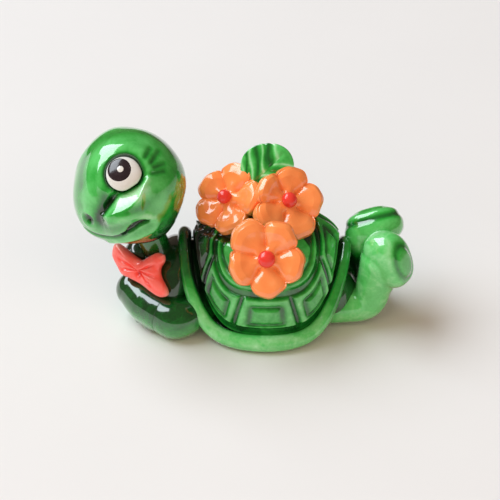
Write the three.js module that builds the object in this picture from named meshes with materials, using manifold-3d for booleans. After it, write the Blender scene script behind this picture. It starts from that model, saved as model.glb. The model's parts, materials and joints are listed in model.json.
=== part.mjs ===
// Toy turtle figure lying on its belly: folded arms, crossed feet in the air, a bow tie, and three flowers
// with a leaf on its shell. Its head turns on a neck pin.
// Millimetres, +Z up. It faces -X, its left side is towards -Y, and the origin is the middle of its flat base.
import * as THREE from "three";
import { mergeVertices } from "three/addons/utils/BufferGeometryUtils.js";
import Module from "manifold-3d";

const wasm = await Module();
wasm.setup();

// Fits
const FIT_GAP = 0.3;
const INLAY_GAP = 0.15;
const TABLE_GAP = 0.05;

// Shell dome, open underneath
const SHELL_LENGTH = 19.3;
const SHELL_WIDTH = 17.6;
const SHELL_HEIGHT = 16.0;
const SHELL_WALL = 1.4;
const SHELL_FULLNESS = 0.85;

// Rolled rim, level along the flanks and arched over the neck and the legs
const RIM_FLANK_DIAMETER = 2.6;
const RIM_END_DIAMETER = 1.9;
const RIM_OVERHANG = 0.75;
const RIM_NECK_HEIGHT = 11.4;
const RIM_LEG_HEIGHT = 10.5;
const RIM_ARCH_POWER = 5;

// Scutes in a ring above the rim, and a round ridge above them
const SCUTE_COUNT = 10;
const SCUTE_FOOT = 0.4;
const SCUTE_LENGTH = 4.6;
const SCUTE_GROOVE = 0.9;
const SCUTE_RAISE = 0.45;
const SCUTE_BEVEL = 0.25;
const RIDGE_WIDTH = 1.1;

// Torso: the chest bulges out of the front arch and the rump out of the rear one
const CHEST_LENGTH = 10.0;
const CHEST_WIDTH = 12.0;
const CHEST_HEIGHT = 11.2;
const CHEST_REACH = 1.5;
const RUMP_LENGTH = 7.0;
const RUMP_WIDTH = 11.0;
const RUMP_HEIGHT = 8.6;
const RUMP_REACH = -0.8;
const BELLY_SINK = 0.15;

// Arms, folded round the chest until the hands meet in front, the left one past the middle
const SHOULDER_DIAMETER = 5.2;
const FOREARM_DIAMETER = 6.0;
const HAND_DIAMETER = 5.0;
const SHOULDER_ANGLE = 60;
const ARM_OUTSET = 1.5;
const ARM_CROSS = 1.5;
const ARM_PEG_DIAMETER = 2.0;
const ARM_PEG_LENGTH = 4.6;
const ARM_PEG_RISE = 0.2;

// Hind legs, bent up at the knee, with the right foot crossed over the left ankle
const THIGH_DIAMETER = 4.7;
const LEFT_ANKLE_DIAMETER = 6.0;
const RIGHT_ANKLE_DIAMETER = 4.4;
const HIP_SPREAD = 2.9;
const HIP_DEPTH = 2.6;
const THIGH_LIFT = 0.2;
const LEFT_KNEE_REACH = 3.7;
const LEFT_KNEE_RISE = 0.7;
const RIGHT_KNEE_REACH = 3.5;
const RIGHT_KNEE_RISE = 1.4;
const SHIN_BOW = 0.3;
const FOOT_LENGTH = 7.6;
const FOOT_WIDTH = 5.0;
const FOOT_THICKNESS = 4.6;
const LEFT_FOOT_OUT = 1.6;
const LEFT_SOLE = [0.8, -0.5, 0.3];
const RIGHT_FOOT_LENGTH = 8.0;
const RIGHT_FOOT_RISE = 1.1;
const RIGHT_TOES = [0.98, -0.06, 0.17];
const LEFT_ANKLE_REACH = 6.0;
const LEFT_ANKLE_HEIGHT = 9.8;
const RIGHT_ANKLE_REACH = 3.0;
const RIGHT_ANKLE_HEIGHT = 11.0;
const RIGHT_ANKLE_SPREAD = 1.9;

// Neck pin: a barrel under the head, with a spigot fixed in it and a snap bulb in the torso
const NECK_AZIMUTH = 8;
const NECK_ELEVATION = 50;
const NECK_TILT = 17;
const NECK_DIAMETER = 4.2;
const NECK_SHOW = 3.6;
const NECK_SINK = 0.8;
const NECK_STEM_DIAMETER = 2.2;
const NECK_STEM_LENGTH = 2.2;
const NECK_BULB_DIAMETER = 3.2;
const NECK_BULB_LENGTH = 1.6;
const NECK_SPIGOT_LENGTH = 4.0;

// Head, turned to its left at rest and rolled so that its left side is higher
const HEAD_LENGTH = 13.8;
const HEAD_WIDTH = 14.2;
const HEAD_HEIGHT = 14.8;
const HEAD_TURN = 18;
const HEAD_ROLL = 8;
const FACE_ELEVATION = -24;
const MUZZLE_BULGE = 0.7;
const MUZZLE_SPREAD = 34;
const CHEEK_AZIMUTH = 62;
const CHEEK_BULGE = 0.5;
const CHEEK_SPREAD = 26;

// Eyes
const EYE_WIDTH = 4.7;
const EYE_HEIGHT = 4.4;
const EYE_THICKNESS = 1.9;
const EYE_SINK = 0.3;
const EYE_AZIMUTH = 73;
const EYE_ELEVATION = 33;
const PUPIL_DIAMETER = 2.7;
const PUPIL_DEPTH = 0.3;
const PUPIL_PROUD = 0.1;
const PUPIL_FORWARD = 0.5;
const PUPIL_UP = 0.4;

// Bow tie on the chest
const BOW_LENGTH = 8.8;
const BOW_HEIGHT = 5.2;
const BOW_THICKNESS = 2.2;
const BOW_WAIST = 3.4;
const BOW_TURN = 55;
const BOW_LEAN = 0.42;
const BOW_ROLL = 1;
const BOW_AZIMUTH = 28;
const BOW_ELEVATION = 27;
const BOW_PEG_DIAMETER = 1.4;
const BOW_PEG_LENGTH = 1.5;

// Flowers: each sits on the dome at a place given by two angles and faces its own way
const FLOWER_DIAMETER = 9.4;
const FLOWER_PETALS = 5;
const FLOWER_NOTCH = 0.28;
const FLOWER_DEPTH = 1.1;
const FLOWER_BACK_DIAMETER = 7.6;
const FLOWER_BACK_DEPTH = 1.2;
const FLOWER_PEG_DIAMETER = 2.4;
const FLOWER_PEG_DEPTH = 1.1;
const CENTRE_DIAMETER = 2.2;
const CENTRE_HEIGHT = 0.9;
const CENTRE_SHANK_DIAMETER = 0.9;
const CENTRE_SHANK_LENGTH = 2.4;
const FLOWERS = [
  { name: "front", angle: -90, lift: 49, stand: 2.3, facing: [0, -0.85, 0.52], roll: 58 },
  { name: "left", angle: 155, lift: 64, stand: 2.9, facing: [-0.5, -0.6, 0.63], roll: 48 },
  { name: "right", angle: 30, lift: 77.5, stand: 2.7, facing: [0.35, -0.66, 0.67], roll: -12 },
];

// Leaf, standing up behind the flowers
const LEAF_LENGTH = 7.0;
const LEAF_WIDTH = 7.4;
const LEAF_THICKNESS = 0.9;
const LEAF_STALK_DIAMETER = 1.2;
const LEAF_STALK_LENGTH = 2.6;
const LEAF_PEG_DEPTH = 2.6;
const LEAF_ANGLE = 135;
const LEAF_LIFT = 78;
const LEAF_FORWARD = 0.9;
const LEAF_ALONG = [0.72, 0.24, 0.62];
const LEAF_FACING = [0.1, -0.8, 0.6];

// Facets
const ROUND_SIDES = 12;
const LIFT_STEP = 0.01;

const { sin, cos, abs, PI } = Math;
const rad = THREE.MathUtils.degToRad;
const vec = (x, y, z) => new THREE.Vector3(x, y, z);
const range = (count) => Array.from({ length: count }, (_, i) => i);

// Closed surfaces and solids

// Skins rings of equally many points into one closed surface, with a fan over each end or end to end.
function skin(rings, looped = false) {
  const sides = rings[0].length;
  const points = rings.flat();
  const faces = [];
  const last = looped ? rings.length : rings.length - 1;
  for (let r = 0; r < last; r++) {
    const a = r * sides;
    const b = ((r + 1) % rings.length) * sides;
    for (let i = 0; i < sides; i++) {
      const j = (i + 1) % sides;
      faces.push([a + i, a + j, b + j], [a + i, b + j, b + i]);
    }
  }
  if (!looped) {
    const end = (rings.length - 1) * sides;
    points.push(middle(rings[0]), middle(rings.at(-1)));
    for (let i = 0; i < sides; i++) {
      const j = (i + 1) % sides;
      faces.push([points.length - 2, j, i], [points.length - 1, end + i, end + j]);
    }
  }
  return closedSurface(points, faces);
}

function middle(points) {
  const sum = points.reduce((total, p) => total.add(p), vec(0, 0, 0));
  return sum.divideScalar(points.length);
}

// Turns the faces outwards if they enclose a negative volume.
function closedSurface(points, faces) {
  let volume = 0;
  for (const [a, b, c] of faces) {
    volume += points[a].dot(vec(0, 0, 0).crossVectors(points[b], points[c]));
  }
  const index = faces.flatMap(([a, b, c]) => (volume < 0 ? [a, c, b] : [a, b, c]));
  const geometry = new THREE.BufferGeometry().setFromPoints(points);
  return geometry.setIndex(index);
}

function solidOf(geometry) {
  const bare = geometry.index ? geometry.clone() : mergeVertices(geometry);
  bare.deleteAttribute("normal");
  bare.deleteAttribute("uv");
  const merged = mergeVertices(bare, 1e-4);
  const index = merged.index.array;
  const triangles = [];
  for (let i = 0; i < index.length; i += 3) {
    const [a, b, c] = index.slice(i, i + 3);
    if (a !== b && b !== c && c !== a) triangles.push(a, b, c);
  }
  const vertProperties = new Float32Array(merged.attributes.position.array);
  const triVerts = new Uint32Array(triangles);
  return new wasm.Manifold(new wasm.Mesh({ numProp: 3, vertProperties, triVerts }));
}

function geometryOf(solid) {
  const mesh = solid.getMesh();
  const geometry = new THREE.BufferGeometry();
  geometry.setAttribute("position", new THREE.BufferAttribute(new Float32Array(mesh.vertProperties), 3));
  geometry.setIndex(new THREE.BufferAttribute(new Uint32Array(mesh.triVerts), 1));
  return geometry;
}

const cut = (solid, ...tools) => tools.reduce((left, tool) => left.subtract(tool), solid);
const join = (solid, ...others) => others.reduce((sum, other) => sum.add(other), solid);

// The main body of a cut solid, without the crumbs that a cut can leave.
function mainBody(solid) {
  return solid.decompose().reduce((a, b) => (a.volume() > b.volume() ? a : b));
}

// Basic shapes

function ellipse(centre, across, along, halfAcross, halfAlong, sides = ROUND_SIDES) {
  return range(sides).map((i) => {
    const turn = (2 * PI * i) / sides;
    return centre
      .clone()
      .addScaledVector(across, halfAcross * cos(turn))
      .addScaledVector(along, halfAlong * sin(turn));
  });
}

// The rotation and place of a local frame whose z axis points along facing and whose x axis is level.
function frameAt(place, facing, roll = 0) {
  const z = facing.clone().normalize();
  const x = vec(0, 0, 1).cross(z).normalize();
  const y = z.clone().cross(x);
  const frame = new THREE.Matrix4().makeBasis(x, y, z).setPosition(place);
  return frame.multiply(new THREE.Matrix4().makeRotationZ(rad(roll)));
}

function ellipsoid(lengths, frame, grow = 0, columns = 22, rows = 12) {
  const ball = new THREE.SphereGeometry(1, columns, rows).rotateX(PI / 2);
  ball.scale(lengths[0] / 2 + grow, lengths[1] / 2 + grow, lengths[2] / 2 + grow);
  return solidOf(ball.applyMatrix4(frame));
}

// A turned solid: rows of radius and height up its axis.
function turned(profile, frame, sides = ROUND_SIDES) {
  const points = profile.map(([radius, height]) => new THREE.Vector2(radius, height));
  return solidOf(new THREE.LatheGeometry(points, sides).rotateX(PI / 2).applyMatrix4(frame));
}

function rod(diameter, from, to, frame, grow = 0) {
  const radius = diameter / 2 + grow;
  return turned([[0, from - grow], [radius, from - grow], [radius, to + grow], [0, to + grow]], frame);
}

// A limb with round ends along a curve, its diameter running through the listed ones.
function limb(path, diameters, grow = 0, steps = 10) {
  const curve = new THREE.CatmullRomCurve3(path);
  const frames = curve.computeFrenetFrames(steps, false);
  const ringAt = (step, reach, share) => {
    const place = (step / steps) * (diameters.length - 1);
    const low = Math.min(Math.floor(place), diameters.length - 2);
    const diameter = THREE.MathUtils.lerp(diameters[low], diameters[low + 1], place - low);
    const radius = diameter / 2 + grow;
    const centre = curve.getPointAt(step / steps).addScaledVector(frames.tangents[step], reach * radius);
    const size = share * radius;
    return ellipse(centre, frames.normals[step], frames.binormals[step], size, size);
  };
  const start = [72, 38].map((a) => ringAt(0, -sin(rad(a)), cos(rad(a))));
  const along = range(steps + 1).map((step) => ringAt(step, 0, 1));
  const end = [38, 72].map((a) => ringAt(steps, sin(rad(a)), cos(rad(a))));
  return solidOf(skin([...start, ...along, ...end]));
}

// Everything below the table is cut away, which leaves flat places to stand on.
function belowTable() {
  const span = 4 * SHELL_LENGTH;
  const slab = new THREE.BoxGeometry(span, span, span);
  return solidOf(slab.translate(0, 0, -span / 2));
}

// Shell

const rimFlankHeight = RIM_FLANK_DIAMETER / 2 + TABLE_GAP;

function rimHeight(angle) {
  const end = cos(angle) < 0 ? RIM_NECK_HEIGHT : RIM_LEG_HEIGHT;
  return rimFlankHeight + (end - rimFlankHeight) * abs(cos(angle)) ** RIM_ARCH_POWER;
}

function rimRadius(angle) {
  return THREE.MathUtils.lerp(RIM_END_DIAMETER, RIM_FLANK_DIAMETER, sin(angle) ** 2) / 2;
}

// The dome's lower edge stands this far up the dome from the middle of the rim.
const edgeUp = (angle) => rimRadius(angle) + FIT_GAP;

// A point of the dome: angle goes round it, and lift goes from the middle of the rim to its top.
function domePoint(angle, lift, inset = 0) {
  const foot = rimHeight(angle);
  return vec(
    (SHELL_LENGTH / 2 - inset) * cos(angle) * cos(lift),
    (SHELL_WIDTH / 2 - inset) * sin(angle) * cos(lift) ** SHELL_FULLNESS,
    foot + (SHELL_HEIGHT - inset - foot) * sin(lift),
  );
}

function domeNormal(angle, lift) {
  const round = domePoint(angle + LIFT_STEP, lift).sub(domePoint(angle - LIFT_STEP, lift));
  const up = domePoint(angle, lift + LIFT_STEP).sub(domePoint(angle, lift - LIFT_STEP));
  return round.cross(up).normalize();
}

// The lift at a distance up the dome from the middle of the rim.
function liftAt(angle, distance) {
  let lift = 0;
  let gone = 0;
  while (gone < distance) {
    const step = domePoint(angle, lift).distanceTo(domePoint(angle, lift + LIFT_STEP));
    lift += LIFT_STEP * Math.min(1, (distance - gone) / step);
    gone += step;
  }
  return lift;
}

// Angles at equal steps along the ring of scutes, from the middle of the left flank.
function evenRing(steps = 720) {
  const angles = range(steps + 1).map((i) => -PI / 2 + (2 * PI * i) / steps);
  const middleUp = SCUTE_FOOT + SCUTE_LENGTH / 2;
  const points = angles.map((angle) => domePoint(angle, liftAt(angle, edgeUp(angle) + middleUp)));
  const gone = [0];
  points.slice(1).forEach((p, i) => gone.push(gone[i] + p.distanceTo(points[i])));
  const around = gone.at(-1);
  const angleAt = (distance) => {
    const wanted = THREE.MathUtils.euclideanModulo(distance, around);
    const next = Math.max(1, gone.findIndex((g) => g >= wanted));
    const share = (wanted - gone[next - 1]) / (gone[next] - gone[next - 1]);
    return THREE.MathUtils.lerp(angles[next - 1], angles[next], share);
  };
  return { around, angleAt };
}

// The lines up the dome: each scute has its flat, its bevels and half a groove at each side.
function domeColumns() {
  const { around, angleAt } = evenRing();
  const pitch = around / SCUTE_COUNT;
  const flat = pitch / 2 - SCUTE_GROOVE / 2 - SCUTE_BEVEL;
  const low = pitch / 2 - SCUTE_GROOVE / 2;
  return range(SCUTE_COUNT).flatMap((i) => [
    { angle: angleAt(i * pitch - low), raised: false },
    { angle: angleAt(i * pitch - flat), raised: true },
    { angle: angleAt(i * pitch), raised: true },
    { angle: angleAt(i * pitch + flat), raised: true },
    { angle: angleAt(i * pitch + low), raised: false },
  ]);
}

function domeSolid() {
  const columns = domeColumns();
  const head = SCUTE_FOOT + SCUTE_LENGTH;
  const ridge = head + SCUTE_GROOVE;
  const crest = ridge + RIDGE_WIDTH;
  const rows = [
    { up: 0, on: "none" },
    { up: SCUTE_FOOT - SCUTE_BEVEL, on: "none" },
    { up: SCUTE_FOOT, on: "scute" },
    { up: SCUTE_FOOT + SCUTE_LENGTH / 2, on: "scute" },
    { up: head, on: "scute" },
    { up: head + SCUTE_BEVEL, on: "none" },
    { up: ridge - SCUTE_BEVEL, on: "none" },
    { up: ridge, on: "ridge" },
    { up: crest, on: "ridge" },
    { up: crest + SCUTE_BEVEL, on: "none" },
  ];
  const outerRing = ({ up, on }) =>
    columns.map(({ angle, raised }) => {
      const lift = liftAt(angle, edgeUp(angle) + up);
      const high = on === "ridge" || (on === "scute" && raised);
      return domePoint(angle, lift).addScaledVector(domeNormal(angle, lift), high ? SCUTE_RAISE : 0);
    });
  const topRing = (share) =>
    columns.map(({ angle }) => {
      const low = liftAt(angle, edgeUp(angle) + crest + SCUTE_BEVEL);
      return domePoint(angle, THREE.MathUtils.lerp(low, PI / 2, share));
    });
  const outside = [...rows.map(outerRing), ...[0.45, 0.85].map(topRing)];
  return solidOf(skin([...outside.reverse(), ...liningRings(SHELL_WALL)]));
}

// Rings on the inside of the dome, from its lower edge to near its top.
function liningRings(inset) {
  return [0, 0.33, 0.66, 0.88].map((share) =>
    domeColumns().map(({ angle }) => {
      const low = liftAt(angle, edgeUp(angle));
      return domePoint(angle, THREE.MathUtils.lerp(low, PI / 2, share), inset);
    }),
  );
}

// The dome filled down to its lower edge, to keep other pieces out of it.
function domeFill(grow) {
  const rings = [0, 25, 50, 75].map((lift) =>
    range(36).map((i) => domePoint((2 * PI * i) / 36, rad(lift), -grow - SCUTE_RAISE)),
  );
  return solidOf(skin(rings));
}

function rimCentre(angle) {
  const x = (SHELL_LENGTH / 2 + RIM_OVERHANG) * cos(angle);
  const y = (SHELL_WIDTH / 2 + RIM_OVERHANG) * sin(angle);
  return vec(x, y, rimHeight(angle));
}

function rimSolid(grow = 0) {
  const stations = 48;
  const rings = range(stations).map((i) => {
    const angle = (2 * PI * i) / stations;
    const tangent = rimCentre(angle + LIFT_STEP).sub(rimCentre(angle - LIFT_STEP)).normalize();
    const outward = vec(cos(angle) / SHELL_LENGTH, sin(angle) / SHELL_WIDTH, 0).normalize();
    const upward = outward.clone().cross(tangent).normalize();
    const side = tangent.clone().cross(upward);
    const radius = rimRadius(angle) + grow;
    return ellipse(rimCentre(angle), side, upward, radius, radius, 8);
  });
  return solidOf(skin(rings, true));
}

// Torso

const chestCentre = vec(-SHELL_LENGTH / 2 - CHEST_REACH, 0, CHEST_HEIGHT / 2 - BELLY_SINK);

// A point of the chest and the way out of it there: azimuth from straight ahead to the left, and elevation.
function chestPoint(azimuth, elevation) {
  const out = vec(-cos(azimuth) * cos(elevation), -sin(azimuth) * cos(elevation), sin(elevation));
  const half = vec(CHEST_LENGTH / 2, CHEST_WIDTH / 2, CHEST_HEIGHT / 2);
  return chestCentre.clone().add(out.multiply(half));
}

// The torso fills the dome, less its wall and the fit. Below the dome it widens to a belt that carries the
// rim, and it stands on a flat base.
function coreSolid() {
  const beltRing = (height) =>
    domeColumns().map(({ angle }) => {
      const inset = rimRadius(angle) + FIT_GAP - RIM_OVERHANG;
      return domePoint(angle, 0, inset).setZ(height(angle));
    });
  const base = beltRing(() => -BELLY_SINK);
  const belt = beltRing((angle) => rimHeight(angle) + rimRadius(angle) / 3);
  return solidOf(skin([base, belt, ...liningRings(SHELL_WALL + FIT_GAP)]));
}

function bulgesSolid() {
  const chest = ellipsoid(
    [CHEST_LENGTH, CHEST_WIDTH, CHEST_HEIGHT],
    new THREE.Matrix4().setPosition(chestCentre),
  );
  const rumpPlace = vec(SHELL_LENGTH / 2 + RUMP_REACH, 0, RUMP_HEIGHT / 2 - BELLY_SINK);
  const rump = ellipsoid(
    [RUMP_LENGTH, RUMP_WIDTH, RUMP_HEIGHT],
    new THREE.Matrix4().setPosition(rumpPlace),
  );
  return join(chest, rump);
}

// Arms and legs

function armPoint(side, angle) {
  const x = chestCentre.x + (CHEST_LENGTH / 2 + ARM_OUTSET) * cos(angle);
  const y = side * (CHEST_WIDTH / 2) * sin(angle);
  return vec(x, y, FOREARM_DIAMETER / 2 - BELLY_SINK);
}

// The hands' round ends stop half a fit short of where they meet.
function handAngle(side) {
  const aside = HAND_DIAMETER / 2 + FIT_GAP / 2 + side * ARM_CROSS;
  return PI - Math.asin(aside / (CHEST_WIDTH / 2));
}

function armSolid(side, grow = 0) {
  const bend = (i) => THREE.MathUtils.lerp(rad(SHOULDER_ANGLE), handAngle(side), i / 5);
  const path = range(6).map((i) => armPoint(side, bend(i)));
  const arm = limb(path, [SHOULDER_DIAMETER, FOREARM_DIAMETER, FOREARM_DIAMETER, HAND_DIAMETER], grow);
  const elbow = armPoint(side, rad(90));
  const inward = vec(0, -side, ARM_PEG_RISE);
  return join(arm, rod(ARM_PEG_DIAMETER, 0, ARM_PEG_LENGTH, frameAt(elbow, inward), grow));
}

function footFrame(centre, sole, up) {
  const z = sole.clone().normalize();
  const y = up.clone().addScaledVector(z, -up.dot(z)).normalize();
  const x = y.clone().cross(z);
  return new THREE.Matrix4().makeBasis(x, y, z).setPosition(centre);
}

const tail = SHELL_LENGTH / 2;
const thighHeight = THIGH_DIAMETER / 2 + THIGH_LIFT;

function leftLegSolid(grow = 0) {
  const y = -HIP_SPREAD;
  const hip = vec(tail - HIP_DEPTH, y, thighHeight);
  const knee = vec(tail + LEFT_KNEE_REACH, y, thighHeight + LEFT_KNEE_RISE);
  const ankle = vec(tail + LEFT_ANKLE_REACH, y, LEFT_ANKLE_HEIGHT);
  const shin = knee.clone().lerp(ankle, 0.5).add(vec(SHIN_BOW / 2, 0, 0));
  const path = [hip, vec(tail, y, thighHeight), knee, shin, ankle];
  const leg = limb(path, [THIGH_DIAMETER, THIGH_DIAMETER, THIGH_DIAMETER, LEFT_ANKLE_DIAMETER], grow);
  const sole = vec(...LEFT_SOLE);
  const centre = ankle.clone().addScaledVector(sole, LEFT_FOOT_OUT);
  const frame = footFrame(centre, sole, vec(0, 0, 1));
  return join(leg, ellipsoid([FOOT_WIDTH, FOOT_LENGTH, FOOT_THICKNESS], frame, grow, 18, 10));
}

function rightLegSolid(grow = 0) {
  const y = HIP_SPREAD;
  const hip = vec(tail - HIP_DEPTH, y, thighHeight);
  const knee = vec(tail + RIGHT_KNEE_REACH, y, thighHeight + RIGHT_KNEE_RISE);
  const ankle = vec(tail + RIGHT_ANKLE_REACH, RIGHT_ANKLE_SPREAD, RIGHT_ANKLE_HEIGHT);
  const shin = knee.clone().lerp(ankle, 0.5).add(vec(SHIN_BOW, 0, 0));
  const path = [hip, vec(tail, y, thighHeight), knee, shin, ankle];
  const leg = limb(path, [THIGH_DIAMETER, THIGH_DIAMETER, RIGHT_ANKLE_DIAMETER], grow);
  const toes = vec(...RIGHT_TOES);
  const sole = vec(-toes.z, 0, toes.x);
  const centre = ankle.clone().addScaledVector(toes, RIGHT_FOOT_LENGTH / 4);
  centre.addScaledVector(sole, RIGHT_FOOT_RISE);
  const frame = footFrame(centre, sole, toes);
  return join(leg, ellipsoid([FOOT_WIDTH, RIGHT_FOOT_LENGTH, FOOT_THICKNESS], frame, grow, 18, 10));
}

// Neck and head

const neckAxis = vec(-sin(rad(NECK_TILT)), -0.03, cos(rad(NECK_TILT))).normalize();
const neckRoot = chestPoint(rad(NECK_AZIMUTH), rad(NECK_ELEVATION));
const headCentre = neckRoot.clone().addScaledVector(neckAxis, NECK_SHOW + HEAD_HEIGHT / 2);
const headFrame = new THREE.Matrix4()
  .makeRotationZ(PI + rad(HEAD_TURN))
  .multiply(new THREE.Matrix4().makeRotationX(rad(HEAD_ROLL)))
  .setPosition(headCentre);

// Heights are along the neck from where it leaves the chest.
function neckPinSolid(grow = 0) {
  const barrel = NECK_DIAMETER / 2 + grow;
  const stem = NECK_STEM_DIAMETER / 2 + grow;
  const bulb = NECK_BULB_DIAMETER / 2 + grow;
  const seat = NECK_SHOW + FIT_GAP - grow;
  const stemFoot = -NECK_SINK - NECK_STEM_LENGTH;
  const bulbFoot = stemFoot - NECK_BULB_LENGTH - grow;
  const profile = [
    [0, bulbFoot],
    [bulb * 0.7, bulbFoot],
    [bulb, stemFoot - NECK_BULB_LENGTH / 2],
    [bulb * 0.9, stemFoot + grow],
    [stem, stemFoot + grow * 2],
    [stem, -NECK_SINK - grow],
    [barrel, -NECK_SINK - grow],
    [barrel, seat + 2 * grow],
    [stem, seat + 2 * grow],
    [stem, seat + NECK_SPIGOT_LENGTH + grow],
    [0, seat + NECK_SPIGOT_LENGTH + grow],
  ];
  return turned(profile, frameAt(neckRoot, neckAxis), 16);
}

// Directions on the head: azimuth from the nose to the left, and elevation.
function headWay(azimuth, elevation) {
  return vec(cos(azimuth) * cos(elevation), sin(azimuth) * cos(elevation), sin(elevation));
}

function bulge(way, azimuth, elevation, spread, height) {
  const angle = way.angleTo(headWay(rad(azimuth), rad(elevation)));
  return height * Math.exp(-((angle / rad(spread)) ** 2));
}

// The head's surface: an egg with a muzzle in front and a cheek at each side.
function headRadius(way) {
  const { x, y, z } = way;
  const egg = 1 / Math.hypot(x / (HEAD_LENGTH / 2), y / (HEAD_WIDTH / 2), z / (HEAD_HEIGHT / 2));
  const muzzle = bulge(way, 0, FACE_ELEVATION, MUZZLE_SPREAD, MUZZLE_BULGE);
  const cheekAt = (azimuth) => bulge(way, azimuth, FACE_ELEVATION, CHEEK_SPREAD, CHEEK_BULGE);
  return egg + muzzle + cheekAt(CHEEK_AZIMUTH) + cheekAt(-CHEEK_AZIMUTH);
}

function skullSolid() {
  const ball = new THREE.SphereGeometry(1, 30, 18).rotateX(PI / 2);
  const place = ball.attributes.position;
  for (let i = 0; i < place.count; i++) {
    const way = new THREE.Vector3().fromBufferAttribute(place, i).normalize();
    way.multiplyScalar(headRadius(way));
    place.setXYZ(i, way.x, way.y, way.z);
  }
  return solidOf(ball.applyMatrix4(headFrame));
}

function eyeFrame(side) {
  const way = headWay(side * rad(EYE_AZIMUTH), rad(EYE_ELEVATION));
  const place = way.clone().multiplyScalar(headRadius(way) - EYE_SINK);
  return headFrame.clone().multiply(frameAt(place, way));
}

const eyeBall = (side, grow = 0) =>
  ellipsoid([EYE_WIDTH, EYE_HEIGHT, EYE_THICKNESS], eyeFrame(side), grow, 14, 7);

function pupilRod(side, grow = 0) {
  const aside = new THREE.Matrix4().setPosition(-side * PUPIL_FORWARD, PUPIL_UP, 0);
  return rod(PUPIL_DIAMETER, 0, EYE_THICKNESS, eyeFrame(side).multiply(aside), grow);
}

function pupilSolid(side) {
  return cut(pupilRod(side).intersect(eyeBall(side, PUPIL_PROUD)), eyeBall(side, -PUPIL_DEPTH));
}

function eyeSolid(side) {
  const recess = cut(pupilRod(side, INLAY_GAP), eyeBall(side, -PUPIL_DEPTH - INLAY_GAP));
  return cut(eyeBall(side), recess);
}

// Bow tie

function bowFrame() {
  const seat = chestPoint(rad(BOW_AZIMUTH), rad(BOW_ELEVATION));
  const out = seat.clone().sub(chestCentre).normalize();
  const centre = seat.addScaledVector(out, BOW_THICKNESS / 2 + FIT_GAP);
  const turn = rad(BOW_TURN);
  const facing = vec(-cos(turn), -sin(turn), BOW_LEAN);
  return frameAt(centre, facing, -BOW_ROLL);
}

// Stations from one end of the bow to the other: place, height and thickness as shares of its sizes.
const BOW_STATIONS = [
  [-1, 0.45, 0.3],
  [-0.94, 0.86, 0.8],
  [-0.7, 1, 1],
  [-0.35, 0.72, 0.9],
];

function bowSolid(grow = 0) {
  const waist = [[-0.09, BOW_WAIST / BOW_HEIGHT, 0.8]];
  const half = [...BOW_STATIONS, ...waist];
  const stations = [...half, ...half.map(([x, h, t]) => [-x, h, t]).reverse()];
  const rings = stations.map(([x, height, thickness]) =>
    ellipse(
      vec(x * (BOW_LENGTH / 2 + grow), 0, 0),
      vec(0, 1, 0),
      vec(0, 0, 1),
      (height * BOW_HEIGHT) / 2 + grow,
      (thickness * BOW_THICKNESS) / 2 + grow,
    ),
  );
  const lobes = solidOf(skin(rings).applyMatrix4(bowFrame()));
  const peg = rod(BOW_PEG_DIAMETER, -BOW_THICKNESS / 2 - BOW_PEG_LENGTH, 0, bowFrame(), grow);
  return join(lobes, peg);
}

// Flowers and leaf

function flowerFrame({ angle, lift, stand, facing, roll }) {
  const way = vec(...facing).normalize();
  const place = domePoint(rad(angle), rad(lift)).addScaledVector(way, stand);
  return frameAt(place, way, roll);
}

// Rows of radius and height as shares of the flower's radius and depth, from its face to its back.
const PETAL_ROWS = [
  [0.12, 0.25],
  [0.34, 0.5],
  [0.7, 0.85],
  [0.93, 1],
  [1, 0.65],
  [0.9, 0.05],
  [0.5, -0.5],
];

function flowerSolid(flower, grow = 0) {
  const sides = FLOWER_PETALS * 6;
  const ring = (radius, height, notch) =>
    range(sides).map((i) => {
      const turn = (2 * PI * i) / sides;
      const petal = abs(cos((FLOWER_PETALS / 2) * turn)) ** 0.7;
      const out = radius * (1 - notch * (1 - petal));
      return vec(out * cos(turn), out * sin(turn), height);
    });
  const petals = PETAL_ROWS.map(([out, up], i) => {
    const radius = out * (FLOWER_DIAMETER / 2) + grow;
    return ring(radius, up * FLOWER_DEPTH + (i < 5 ? grow : -grow), FLOWER_NOTCH * out * out);
  });
  const frame = flowerFrame(flower);
  const peg = rod(FLOWER_PEG_DIAMETER, -flower.stand - FLOWER_PEG_DEPTH, 0, frame, grow);
  const foot = -flower.stand - FLOWER_BACK_DEPTH;
  const back = cut(rod(FLOWER_BACK_DIAMETER, foot, 0, frame, grow), domeFill(0));
  return join(solidOf(skin(petals).applyMatrix4(frame)), back, peg);
}

// The domed centre seats in the flower's face, on a shank that goes through to its stem.
function centreSolid(flower, grow = 0) {
  const seat = 0.35 * FLOWER_DEPTH + FIT_GAP;
  const radius = CENTRE_DIAMETER / 2 + grow;
  const shank = CENTRE_SHANK_DIAMETER / 2 + grow;
  const top = seat + CENTRE_HEIGHT + grow;
  const profile = [
    [0, seat - CENTRE_SHANK_LENGTH - grow],
    [shank, seat - CENTRE_SHANK_LENGTH - grow],
    [shank, seat - grow],
    [radius, seat - grow],
    [radius, seat + 0.35 * CENTRE_HEIGHT],
    [0.75 * radius, seat + 0.75 * CENTRE_HEIGHT + grow],
    [0, top],
  ];
  return turned(profile, flowerFrame(flower));
}

// The leaf's root is on the top of the dome, its blade leans to the rear and away from the flowers.
const leafRoot = domePoint(rad(LEAF_ANGLE), rad(LEAF_LIFT));

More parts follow.
